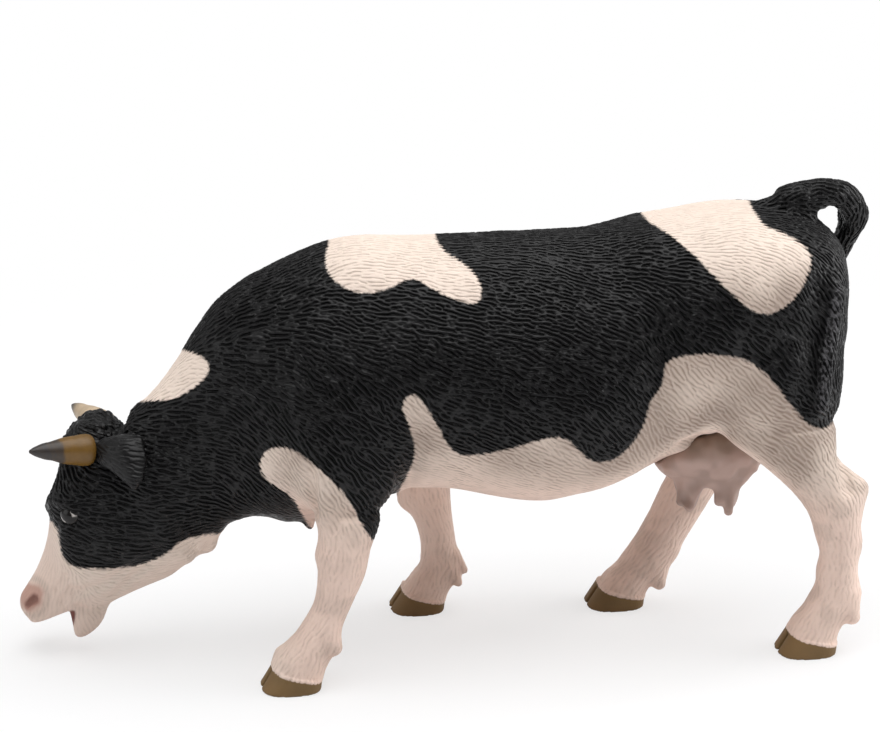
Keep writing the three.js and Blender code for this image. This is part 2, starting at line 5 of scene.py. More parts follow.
import bpy
import numpy as np
import openvdb
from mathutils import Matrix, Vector


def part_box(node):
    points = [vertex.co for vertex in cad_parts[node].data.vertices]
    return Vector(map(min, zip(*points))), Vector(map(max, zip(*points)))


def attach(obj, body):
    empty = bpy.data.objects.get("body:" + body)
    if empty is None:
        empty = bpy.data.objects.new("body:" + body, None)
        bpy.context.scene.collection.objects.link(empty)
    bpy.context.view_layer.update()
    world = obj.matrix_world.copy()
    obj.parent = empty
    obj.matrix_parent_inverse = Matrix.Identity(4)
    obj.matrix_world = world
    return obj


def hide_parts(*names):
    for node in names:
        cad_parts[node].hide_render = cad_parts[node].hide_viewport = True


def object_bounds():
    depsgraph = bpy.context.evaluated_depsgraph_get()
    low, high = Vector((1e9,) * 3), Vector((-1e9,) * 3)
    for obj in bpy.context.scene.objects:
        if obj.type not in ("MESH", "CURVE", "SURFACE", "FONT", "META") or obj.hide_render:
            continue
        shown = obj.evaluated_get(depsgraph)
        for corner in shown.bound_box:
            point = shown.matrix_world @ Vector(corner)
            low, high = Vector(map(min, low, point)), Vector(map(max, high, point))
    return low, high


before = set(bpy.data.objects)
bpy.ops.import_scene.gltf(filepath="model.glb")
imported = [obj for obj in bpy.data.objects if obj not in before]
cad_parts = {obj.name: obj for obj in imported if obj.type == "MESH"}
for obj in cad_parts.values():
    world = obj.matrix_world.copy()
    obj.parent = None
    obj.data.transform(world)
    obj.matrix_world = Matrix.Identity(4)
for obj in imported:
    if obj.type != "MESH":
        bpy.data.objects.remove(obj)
CAD_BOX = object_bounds()

# Shapes are worked out in millimetres and written to meshes in metres
MM = 0.001

# Camera, fitted to the photograph: a long lens at the cow's left, a little above it
PHOTO_WIDTH = 880
PHOTO_HEIGHT = 732
CAMERA_AZIMUTH = math.radians(-8.5)
CAMERA_ELEVATION = math.radians(17)
CAMERA_DISTANCE = 520.0
CAMERA_TARGET = np.array([-1.16, 0.0, 48.3])
PIXELS_PER_MM = 6.1
SENSOR_WIDTH = 36.0
CAMERA_CLIP = (0.01, 20)
FOCAL = PIXELS_PER_MM * CAMERA_DISTANCE

# Sculpting grids: the first for the main forms, the second for the finished skin
COARSE = 0.5
FINE = 0.25
BAND = 4.0
MARGIN = 3.0
JOIN_BLUR = 0.5
# Room around a form that is cut out, and the fillet at its edge
CUT_MARGIN = 3.0
CUT_FILLET = 0.6

# For each moulding with a coat but the ears: how far its facets are blurred, and how wide it joins others
LEGS = ["leg_fore_left", "leg_fore_right", "leg_hind_left", "leg_hind_right"]
SKIN_NODES = {"torso": (1.7, 1.6), "head": (0.8, 4.5), **dict.fromkeys(LEGS, (0.7, 2.0)), "tail": (0.5, 1.6)}

# Head frame: the upright axis that it turns about, and its turn to the cow's right
HEAD_PIVOT = np.array([-47.16, 0.0, 31.0])
HEAD_TURN = math.radians(20)

# How far before and behind its target the camera looks for the skin, in how many steps, the share of the
# distance and the least length that a step takes, and the distance that counts as touching
SIGHT_RANGE = 120.0
SIGHT_STEPS = 200
SIGHT_SHARE = 0.8
SIGHT_LEAST = 0.02
SIGHT_TOUCH = 0.01

# Noise: the seed of all random draws, and the cells of its lattice
SEED = 7
TILE = 64

# Ears: pixels of the near one's front and rear rims from base to tip, and how far they stand off the skin
EAR_FRONT = [((93, 460), 0.4), ((112, 470), 2.5), ((135.5, 489), 3.2)]
EAR_REAR = [
    ((99, 453), 0.2), ((113, 440), 0.4), ((129, 434), 0.4), ((143, 438), 0.6), ((148, 459), 1.4),
    ((145, 477), 2.6), ((138, 489), 3.2),
]
EAR_BULGE = 1.9
EAR_THICK = 0.6
EAR_JOIN = 0.6
EAR_LATTICE = (32, 16)

# How far the far ear is raised over the near one, and moved back
FAR_EAR_SHIFT = np.array([2.0, 0, 1.0])

# Forms of the trunk, on both sides: a path of pixels on the near one, radius and height in millimetres
TRUNK_FORMS = [
    ([(322, 398)], 14, 0.9),
    ([(345, 270), (318, 330)], 7, 0.6),
    ([(418, 438), (408, 476), (394, 502)], 2.6, -0.9),
    ([(664, 350), (658, 376), (650, 404)], 3, -0.4),
    ([(690, 380), (684, 420)], 7, 0.7),
    ([(682, 446), (697, 440), (708, 439)], 2.4, -1.2),
    ([(760, 330)], 13, 0.8),
    ([(838, 296), (831, 338), (825, 376), (821, 404)], 1.8, 1.6),
    ([(818, 290), (812, 350), (806, 404)], 3.0, -0.8),
    ([(485, 290), (500, 420)], 5, 0.35),
    ([(525, 280), (545, 420)], 5, 0.35),
    ([(568, 290), (590, 410)], 5, 0.3),
]

# Forms at the outline of the trunk and the muzzle, on both sides: a path of pixels, radius and height
OUTLINE_FORMS = [
    ([(590, 498), (600, 494), (612, 490), (626, 484), (640, 477), (652, 470)], 6.5, -1.8),
    ([(190, 571), (203, 564)], 3.5, -0.9),
    ([(239, 523), (250, 522), (264, 521)], 4.2, -1.2),
    ([(25, 617)], 1.8, -0.6),
    ([(50, 621), (58, 619)], 1.6, 0.4),
]

# Edge of the near skin over the udder, as a path of pixels, with radius and height
UDDER_EDGE = ([(662, 460), (674, 453), (686, 446)], 2.8, -1.6)

# Forms at the outline of a limb or the tail, each a pixel on it, the shift to its edge, radius and height
EDGE_FORMS = [
    ((858, 214), (8, 0), 3.2, 0.7),
    ((848, 218), (-9, 4), 2.4, -0.9),
    ((410, 503), (-8, 0), 2.6, 1.0),
    ((410, 577), (-6, 0), 1.8, -1.0),
    ((420, 566), (-6, 0), 1.8, -0.8),
    ((324, 533), (-6, 0), 2.0, -0.5),
    ((324, 557), (-7, 0), 2.4, 0.5),
    ((283, 652), (-6, 0), 1.8, 0.6),
    ((300, 634), (-6, 0), 1.8, -0.4),
    ((860, 488), (6, 0), 2.6, 0.8),
    ((808, 606), (-6, 0), 2.2, -0.8),
    ((654, 572), (8, 0), 2.6, 1.0),
    ((664, 554), (8, 0), 2.8, 0.9),
    ((606, 577), (-6, 0), 1.8, -0.6),
    ((618, 563), (-6, 0), 1.8, -0.5),
    ((853, 545), (7, 0), 3.2, 0.6),
    ((853, 590), (7, 0), 3.2, 0.6),
    ((826, 553), (-7, 0), 3.2, -0.6),
    ((820, 585), (-7, 0), 3.0, -0.6),
]

# Forms on the near limbs, each a path of pixels, radius and height
LIMB_FORMS = [
    ([(840, 456), (849, 488)], 1.8, -1.4),
    ([(838, 510)], 4.0, 0.7),
    ([(818, 516), (825, 500), (838, 492)], 2.0, -0.3),
    ([(836, 540), (832, 600)], 1.6, -0.35),
    ([(320, 474), (324, 520)], 1.6, 0.7),
    ([(312, 476), (316, 512)], 1.6, -0.9),
    ([(334, 531)], 1.6, -0.5),
    ([(337, 577)], 1.8, -0.4),
    ([(330, 590), (312, 632)], 1.6, -0.3),
]

# Forms of the throat and the breast: points in the frame, radius and height
BREAST_FORMS = [
    ([(-39.4, 0.0, 18.6)], 3.0, 0.9),
    (
        [
            (-34, -4.5, 22.4), (-30.5, -4.5, 22), (-30.5, 0, 22), (-34, 0, 22.4), (-34, 4.5, 22.4),
            (-30.5, 4.5, 22),
        ],
        3.0,
        -2.5,
    ),
    ([(-23.0, -3.0, 21.8), (-20.4, -5.0, 20.6)], 2.8, 2.0),
]

# Rise of the rump into the tail: pixels, and how deep under the skin they lie
TAIL_ROOT = [((764, 206), 1.0), ((800, 196), 1.7)]
# Its radius at both ends, and its fillet
TAIL_ROOT_SIZE = (0.7, 1.7, 1.2)

# Opening of the tail's loop: a pixel on the tail beside it, and pixels and radii of the round cuts
TAIL_PIXEL = (852, 214)
TAIL_HOLE = [
    ((831, 216), 1.75), ((837.4, 222.5), 1.05), ((838.6, 230), 0.6), ((819, 213.6), 0.65),
]
# How far the cuts go behind and before that pixel's point
HOLE_REAR = 9.0
HOLE_FRONT = 6.0

# Tufts of the coat behind the fetlocks: pixels of root and tip, and radii there
SPURS = [
    ((327, 630), (334, 648), 1.9, 1.2), ((849, 598), (854, 618), 2.0, 1.25),
    ((654, 572), (660, 585), 1.8, 0.9), ((454, 556), (465, 571), 1.2, 0.6),
    ((449, 568), (459, 584), 1.2, 0.6),
]
SPUR_FILLET = 1.0

# Forms of the head, on both sides: points along, across and above the pivot, radius and height
HEAD_FORMS = [
    ([(-18.6, 4.0, -4.4), (-15.6, 8.2, -2.0), (-12.6, 9.4, -3.2)], 2.0, 0.9),
    ([(-16.8, 2.5, 1.0), (-17.2, 2.5, -0.6)], 3.0, -0.9),
    ([(-15.0, 2.2, -24.2), (-14.4, 2.2, -26.4)], 1.7, 0.9),
    ([(-13, 6.6, 6), (-17, 6, -2)], 2.0, 0.5),
    ([(-15.8, 8.3, -7.2), (-17.6, 7.2, -10.4)], 1.2, -0.5),
    ([(-6, 8.6, -9)], 6, 0.7),
    ([(-14, 5.2, -18.6), (-8, 6.6, -16.4), (2, 7.6, -9.5)], 1.4, -0.5),
    ([(-19.6, 5.4, -12.2)], 3.4, -0.6),
    ([(-23.8, 3.4, -20.6)], 2.4, 0.4),
    ([(-20.6, 5.2, -24.2), (-17, 5.0, -24.4)], 1.4, 0.4),
]
# Its hollow forehead, in the middle
FOREHEAD = ([(-17, 0, 1)], 4, -0.4)

# Poll: points of the ridge between the horns, its half spread, radius and fillet, and the notch behind it
POLL = [(-13.0, 0, 6.2), (-11.6, 0, 7.2), (-10.4, 0, 6.7), (-9.2, 0, 4.6)]
POLL_SPREAD = 2.6
POLL_RADIUS = 2.5
POLL_FILLET = 1.5
NAPE_NOTCH = (-8.0, 0, 10.8)
NAPE_RADIUS = 3.0
NAPE_REACH = 6.0
NAPE_FILLET = 1.0

# Horns: base, reach from it to the tip, and where along it they start in the head, in the head's frame
HORN_BASE = np.array([-10.8, 7.5, 6.8])
HORN_REACH = (-7.0, 6.0, 1.2)
HORN_START = -0.17
HORN_LATTICE = (40, 28)
HORN_WIDTH = 5.2
FAR_HORN_SHIFT = (-1.5, 0, -0.7)

# Where along each horn its dark tip begins and is full
HORN_DARK = (0.40, 0.45)
FAR_HORN_DARK = (0.55, 0.95)
# Share of the width along the horn, and how its root closes
HORN_TAPER = ([0, 0.25, 0.5, 0.75, 0.92, 1], [1, 0.87, 0.69, 0.47, 0.27, 0.1])
HORN_ROOT = ([0, 0.03, 0.1], [0.7, 0.92, 1])

# Folds of the face, each a path of pixels on the near side, its radius and its height
FACE_FORMS = [
    ([(147, 565), (130, 579), (112, 597)], 1.0, -0.6),
    ([(66, 577), (56, 589)], 0.8, -0.5),
    ([(71, 588), (62, 602)], 0.8, -0.4),
    ([(78, 607), (91, 612), (101, 607)], 0.9, -0.5),
]

# Near eye: pixel, half length, depth and height, how deep it sits, and the socket's radius and height
EYE_PIXEL = (67.5, 516)
EYE_SIZE = (1.8, 1.35, 1.65)
EYE_SUNK = 0.75
EYE_SOCKET = (2.6, -0.9)
EYE_LATTICE = (25, 40)

# Near nostril: pixels of its two ends, radii there, and its rim's radius and height
NOSTRIL_PIXELS = [(34.5, 599.5), (28.5, 605)]
NOSTRIL_SIZE = (0.7, 0.45)
NOSTRIL_RIM = (2.2, 0.5)
# Nose and the inside of the mouth, as they are painted, in pixels
NOSE_PIXEL = (31, 597)
NOSE_SIZE = (13, 15)
MOUTH_PATCH = [(68, 611), (76, 610), (75, 620), (72, 629), (70, 622)]

# Open mouth: its corner in the head's frame, and the slopes of the upper lip and the lower jaw
MOUTH_CORNER = (-15.2, 0, -22.6)
MOUTH_REACH = 9.0
LIP_FILLET = 0.5
LIP_SLOPE = math.radians(202)
CHIN_SLOPE = math.radians(-86)

# Hooves: the line where the coat ends, the cleft between the claws, the coat's fringe, and the hoof's form
CORONET_FRONT = 4.0
CORONET_HEEL = 1.5
CLEFT_HALF = 0.42
CLEFT_SHARE = 0.66
FRINGE = 0.1
SOLE_SQUARE = 3.0
TOE_SLOPE = 0.68
HEEL_SLOPE = 0.1
TOE_REACH = -0.35
HOOF_LAP = 0.3
CLEFT_STOP = 0.4
HOOF_FILLET = 0.4
# Groove above the cleft: points behind the toe and above the ground, radius and height
TOE_GROOVE = ([(2.6, 5.8), (4.4, 9.5)], 1.2, -0.4)

# Flow of the coat on the near side: pixel, and the slope of the strokes in degrees above the horizontal
COAT_FLOW = [
    ((302, 262), 18), ((222, 318), 8), ((370, 328), -26), ((422, 328), -25), ((500, 337), -19),
    ((500, 250), -18), ((276, 380), -16), ((353, 389), -38), ((517, 281), -11), ((552, 247), -26),
    ((603, 264), -20), ((569, 316), -23), ((552, 376), -30), ((638, 298), -32), ((664, 336), -52),
    ((715, 341), -32), ((612, 376), -36), ((724, 385), -38), ((678, 369), -48), ((476, 409), -18),
    ((533, 409), -25), ((609, 418), -40), ((533, 456), -34), ((476, 476), -24), ((428, 437), -36),
    ((638, 437), -55), ((252, 363), -18), ((193, 415), -5), ((311, 378), -28), ((193, 466), -12),
    ((281, 429), -36), ((252, 488), -42), ((717, 338), -35), ((793, 361), -42), ((828, 354), -76),
    ((770, 415), -35), ((686, 415), -46), ((778, 453), -38), ((839, 484), -62), ((793, 484), -52),
    ((124, 541), -4), ((108, 501), -10), ((62, 475), -70), ((80, 530), -6), ((95, 558), -3),
    ((86, 505), -8), ((110, 480), -22), ((146, 520), -6), ((160, 550), 6), ((156, 571), 22),
    ((60, 590), -110), ((292, 466), -40), ((326, 500), -58), ((700, 230), -12), ((790, 262), -35),
    ((790, 196), 22), ((815, 186), 10), ((838, 186), -15), ((856, 200), -55), ((862, 222), -95),
    ((855, 245), -112), ((800, 215), -18), ((822, 240), -45), ((836, 265), -68),
]
FLOW_REACH = 26.0
# Heights at which a leg's direction is taken: first, last and number
LEG_LEVELS = (1, 27, 10)

# White areas of the near side, as outlines in pixels
WHITE_NEAR = {
    "withers": [
        (331, 200), (331, 237), (325, 259), (328, 274), (343, 287), (360, 293), (382, 291), (411, 277),
        (421, 281), (436, 291), (462, 302), (480, 304), (482, 284), (467, 265), (447, 254), (438, 243),
        (434, 235), (434, 200),
    ],
    "rump": [
        (638, 180), (638, 215), (669, 233), (699, 259), (715, 277), (738, 300), (756, 313), (774, 314),
        (797, 298), (810, 270), (811, 250), (784, 233), (765, 227), (758, 217), (747, 201), (747, 180),
    ],
    "crest": [
        (150, 340), (180, 350), (195, 353), (208, 361), (209, 372), (198, 385), (185, 393), (171, 400),
        (147, 401), (120, 400),
    ],
    "foreleg": [
        (259, 465), (265, 452), (278, 446), (295, 451), (317, 467), (338, 487), (354, 508), (360, 523),
        (370, 538), (390, 560), (390, 720), (240, 720), (250, 600), (300, 560), (318, 536), (307, 522),
        (299, 508), (291, 495), (265, 480),
    ],
    "belly": [
        (401, 405), (412, 392), (423, 403), (436, 423), (445, 442), (458, 457), (484, 455), (510, 449),
        (536, 441), (564, 436), (579, 451), (590, 462), (608, 462), (623, 455), (640, 434), (648, 414),
        (651, 399), (664, 384), (664, 366), (673, 358), (692, 355), (710, 354), (742, 358), (761, 369),
        (779, 389), (793, 408), (806, 423), (818, 429), (830, 427), (836, 418), (900, 416), (900, 760),
        (374, 760), (374, 540), (391, 507), (403, 484), (411, 468), (415, 456), (415, 443), (409, 424),
    ],
}
WHITE_FACE = [
    (49, 519), (57, 528), (59, 537), (61, 555), (71, 567), (89, 569), (114, 569), (136, 567), (157, 559),
    (171, 551), (180, 541), (205, 535), (225, 534), (240, 540), (240, 600), (110, 680), (-20, 680),
    (-20, 519),
]

# Rear edge of the thigh, where the black shows wear and a painted highlight, as an outline in pixels
WORN_HIGHLIGHT_EDGE = [
    (836, 288), (842, 290), (834, 345), (829, 385), (824, 412), (818, 410), (822, 375), (827, 335),
]

# White areas of the far side, as outlines along the body and above the ground in millimetres
WHITE_FAR = {
    "withers": [
        (-19, 80), (-19, 68), (-23, 63), (-21, 57), (-13, 54), (-8, 57), (-6, 62), (1, 63), (3, 67),
        (-2, 71), (-2, 80),
    ],
    "rump": [
        (31, 85), (32, 72), (37, 66), (36, 58), (43, 54), (50, 57), (54, 64), (49, 71), (49, 85),
    ],
    "crest": [
        (-56, 60), (-45, 60), (-43.5, 51), (-38, 49), (-38, 45), (-44, 42), (-52, 43),
    ],
    "flank": [
        (2, 26), (6, 38), (5, 46), (11, 53), (19, 52), (23, 46), (20, 40), (25, 34), (28, 26),
    ],
    "belly": [
        (-30, 28), (-24, 35), (-16, 36), (-8, 30), (2, 33), (14, 33), (24, 37), (31, 35), (36, 42),
        (43, 48), (52, 44), (60, 38), (80, 38), (80, -5), (-40, -5), (-36, 20),
    ],
}

# How far paint looks for an outline, in pixels and in millimetres; how far along the body the throat's white
# goes, and the distance that counts as far from it
PIXEL_REACH = 30
FAR_REACH = 5
THROAT_END = -25
BEYOND = 9

# Areas of the coat fade in between two places. Heights: where the coat turns down a leg, where the legs'
# paint and the trunk's shade begin, and the underside's top
LOWER_LEG = (30, 22)
LEG_PAINT = (36, 22)
SHADE_TOP = (74, 62)
UNDERSIDE_TOP = 40
# Along the body: where the legs' paint, the trunk's shade and the neck's calmer coat begin
LEG_PAINT_FRONT = (-34, -26)
SHADE_FRONT = (-34, -24)
NECK = (-20, -35)
# In the head's frame: the muzzle along a leaning line, and the curls of the poll above and along
MUZZLE = (-12, -19)
MUZZLE_LEAN = 0.35
MUZZLE_LEVEL = -12
CURLS_ABOVE = (5.0, 8.0)
CURLS_ALONG = (-3, -7)
# How far the skin faces up: on the underside, and at the upper and lower ends of the trunk's shade
UNDERSIDE_TURN = (-0.3, -0.8)
SHADE_UPPER = (0.85, 0.3)
SHADE_LOWER = (-0.85, -0.45)

# Strokes of the coat: spacing, half length and width of a tuft, and how far tufts stray from the flow;
# they are finer in the white, and straighter there and on the neck
STROKE = 0.76
WHITE_STROKE = 0.72
STROKE_REACH = 1.7
STROKE_SPREAD = 0.62
STROKE_STRAY = 0.2
CALM_STRAY = 0.16

# Paints, as linear red, green and blue
BLACK_DEEP = (0.002, 0.002, 0.002)
BLACK_RIDGE = (0.0048, 0.0044, 0.0048)
# Black made lighter by wear and a painted highlight along the thigh's rear edge
BLACK_WORN_HIGHLIGHT = (0.075, 0.072, 0.077)
CREAM = (0.835, 0.7, 0.605)
CREAM_PINK = (0.8, 0.595, 0.505)
# Cream in painted shade
CREAM_SHADE = (0.395, 0.308, 0.257)
WASH = (0.28, 0.195, 0.15)
HOOF_LIGHT = (0.24, 0.145, 0.062)
HOOF_DARK = (0.14, 0.09, 0.036)
NOSE = (0.42, 0.22, 0.17)
MOUTH = (0.17, 0.055, 0.045)
HORN_OCHRE = (0.19, 0.095, 0.012)
# The far horn's ochre painted paler, as painted light for the brighter light that falls on it
HORN_OCHRE_LIT = (0.62, 0.48, 0.33)
HORN_TIP = (0.03, 0.025, 0.024)
UDDER = (0.46, 0.322, 0.275)
UDDER_SHADE = (0.3, 0.212, 0.176)
UDDER_FOLD_SHADOW = (0.2, 0.135, 0.09)
PUPIL_DARK = (0.004, 0.004, 0.004)
PUPIL_BROWN = (0.012, 0.009, 0.008)
EYE_RIM = (0.62, 0.58, 0.55)
FLOOR = (0.88, 0.88, 0.89)

# Roughness of the coat in black and in white, and its specular level
COAT_ROUGHNESS = (0.34, 0.6)
COAT_SPECULAR = 0.27
# Clearness at which strokes begin to show and are full, and how far a groove's dark and its wash reach
STROKES_SHOW = (0.08, 0.4)
GROOVE_EDGE = (0.03, 0.3)
HAIR_EDGE = (0.0, 0.34)

# Relief of the coat: height of strokes, size and height of clumps, and depth of the finest grooves
STROKE_HEIGHT = 0.26
CLUMP = 3.2
CLUMP_HEIGHT = 0.12
GROOVE_DEPTH = 0.27

# Paint: range of the stored distance to an edge, how far strokes and noise move the edge, and half its blur
PAINT_RANGE = 4.0
FEATHER = 0.26
FUZZ = 0.65
WHITE_EDGE = 0.2
HOOF_EDGE = 0.08

# Udder: how far it and its teats are filled out over the moulding, and the heights between them
UDDER_BLUR = 0.5
TEAT_TOP = (24.5, 28)
UDDER_FULL = 0.45
TEAT_SLIM = 0.05
# Its lumps and the heights where they begin, and the heights of the fold above it, where it is darkened as
# painted shadow
UDDER_LUMPS = 0.5
LUMPS_ABOVE = (24, 28)
UDDER_FOLD = (32.0, 35.5)
# Its crown and the gap between two teats: pixels, radius and height
UDDER_CROWN = ([(674, 462), (692, 450)], 4.0, 1.5)
TEAT_GAP = ([(686, 500)], 1.1, -1.2)

# Teats: pixels of root and tip, radii there, and the fillet
TEATS = [
    ((684, 482), (681, 502)), ((692, 484), (690, 508)), ((721, 486), (719, 502)), ((730, 486), (729, 512)),
]
TEAT_RADIUS = (1.15, 0.75)
TEAT_FILLET = 1.2

# Studio: the room is brighter above and behind than in front
BRIGHT_SIDE = (0.0, 0.6, 0.8)
WORLD_DIM = 0.06
WORLD_BRIGHT = 0.42
WORLD_TURN = -0.6

# Share of plain white in the floor that the camera sees, near the object and far from it
FLOOR_NEAR = 0.62
FLOOR_FAR = 1.0
FLOOR_FADE = (0.11, 0.26)
FLOOR_HALF = 3.0
# Lamps: name, place in metres, size and power
LAMPS = [
    ("top", (0.05, -0.1, 0.9), 1.0, 8.4),
    ("left", (-0.95, -0.15, 0.4), 0.7, 1.9),
    ("right", (0.95, 0.05, 0.4), 0.7, 6.2),
]
LAMP_TARGET = (0, 0, 0.03)


# Vectors, the camera and the head
def unit(vectors):
    """Vectors brought to length one."""
    return vectors / np.maximum(np.linalg.norm(vectors, axis=-1, keepdims=True), 1e-9)


def camera_axes():
    """Right, up and back of the camera as unit vectors."""
    sa, ca = math.sin(CAMERA_AZIMUTH), math.cos(CAMERA_AZIMUTH)
    se, ce = math.sin(CAMERA_ELEVATION), math.cos(CAMERA_ELEVATION)
    back = np.array([sa * ce, -ca * ce, se])
    right = np.array([ca, sa, 0.0])
    return right, np.cross(back, right), back


def head_axes():
    """The head's directions along, across and above, as columns."""
    c, s = math.cos(HEAD_TURN), math.sin(HEAD_TURN)
    return np.array([[c, s, 0], [-s, c, 0], [0, 0, 1]])


RIGHT, UP, BACK = camera_axes()
EYE = CAMERA_TARGET + CAMERA_DISTANCE * BACK
HEAD_AXES = head_axes()


def pixels(points):
    """Where points land in the photograph's frame."""
    offset = points - EYE
    depth = -(offset @ BACK)
    u = PHOTO_WIDTH / 2 + FOCAL * (offset @ RIGHT) / depth
    v = PHOTO_HEIGHT / 2 - FOCAL * (offset @ UP) / depth
    return np.stack([u, v], axis=-1)


def line_of_sight(pixel):
    """The direction from the camera to a pixel."""
    across = (pixel[0] - PHOTO_WIDTH / 2) / FOCAL
    rise = (PHOTO_HEIGHT / 2 - pixel[1]) / FOCAL
    ray = -BACK + across * RIGHT + rise * UP
    return ray / np.linalg.norm(ray)


def shifted(point, pixel_shift):
    """A point moved across the photograph by a number of pixels."""
    return point + (pixel_shift[0] * RIGHT - pixel_shift[1] * UP) / PIXELS_PER_MM


def near_side(points):
    """Points with those of the far side mirrored to the near one."""
    return points * [1, 0, 1] - np.outer(np.abs(points[:, 1]), [0, 1, 0])


def from_head(points):
    """Points given along, across and above the head's pivot, in the frame."""
    return HEAD_PIVOT + np.asarray(points, float) @ HEAD_AXES.T


def to_head(points):
    return (np.asarray(points) - HEAD_PIVOT) @ HEAD_AXES


def mirrored_in_head(points):
    return from_head(to_head(points) * [1, -1, 1])


def mirrored_in_body(points):
    return points * [1, -1, 1]


def make_camera():
    data = bpy.data.cameras.new("camera")
    data.sensor_width = SENSOR_WIDTH
    data.lens = SENSOR_WIDTH * FOCAL / PHOTO_WIDTH
    data.clip_start, data.clip_end = CAMERA_CLIP
    camera = bpy.data.objects.new("camera", data)
    bpy.context.scene.collection.objects.link(camera)
    camera.location = Vector(EYE * MM)
    camera.rotation_euler = Vector(-BACK).to_track_quat("-Z", "Y").to_euler()
    bpy.context.scene.camera = camera


# Distance grids
def smoothstep(low, high, value):
    t = np.clip((value - low) / (high - low), 0, 1)
    return t * t * (3 - 2 * t)


def smooth_least(a, b, width):
    """The lesser of two distances, with a fillet of that width."""
    h = np.maximum(width - np.abs(a - b), 0) / width
    return np.minimum(a, b) - h * h * width / 4


def segment_gap(a, b, x, y, z):
    """The share along a segment that is nearest to a place, and the squared distance to it."""
    along = np.subtract(b, a)
    length = max(along @ along, 1e-9)
    t = ((x - a[0]) * along[0] + (y - a[1]) * along[1] + (z - a[2]) * along[2]) / length
    t = np.clip(t, 0, 1)
    gap = (x - a[0] - t * along[0]) ** 2
    gap = gap + (y - a[1] - t * along[1]) ** 2
    return t, gap + (z - a[2] - t * along[2]) ** 2


def round_bar(a, b, first, last):
    """The distance to a bar between two points, with a radius at each end, as a function of a place."""

    def distance(x, y, z):
        t, gap = segment_gap(a, b, x, y, z)
        return np.sqrt(gap) - first - t * (last - first)

    return distance


def corner_weights(part):
    """The eight corners of a cell, each with its weight for places within the cell."""
    for corner in np.ndindex(2, 2, 2):
        weight = 1
        for share, far in zip(part.T, corner):
            weight = weight * (share if far else 1 - share)
        yield corner, weight


def blurred(grid, sigma):
    """A Gaussian blur of a grid, sigma in cells."""
    reach = math.ceil(2.5 * sigma)
    weights = np.exp(-0.5 * (np.arange(-reach, reach + 1) / sigma) ** 2)
    weights /= weights.sum()
    for axis in range(3):
        size = grid.shape[axis]
        pads = [(reach, reach) if a == axis else (0, 0) for a in range(3)]
        padded = np.pad(grid, pads, mode="edge")
        grid = sum(w * padded.take(range(k, k + size), axis) for k, w in enumerate(weights))
    return grid.astype(np.float32)


def doubled(grid):
    """A grid at half the cell size, by linear interpolation."""
    for axis in range(3):
        size = grid.shape[axis]
        fine = np.repeat(grid, 2, axis=axis).take(range(2 * size - 1), axis)
        odd = [slice(None)] * 3
        odd[axis] = slice(1, None, 2)
        lower = grid.take(range(size - 1), axis)
        upper = grid.take(range(1, size), axis)
        fine[tuple(odd)] = 0.5 * (lower + upper)
        grid = fine
    return grid


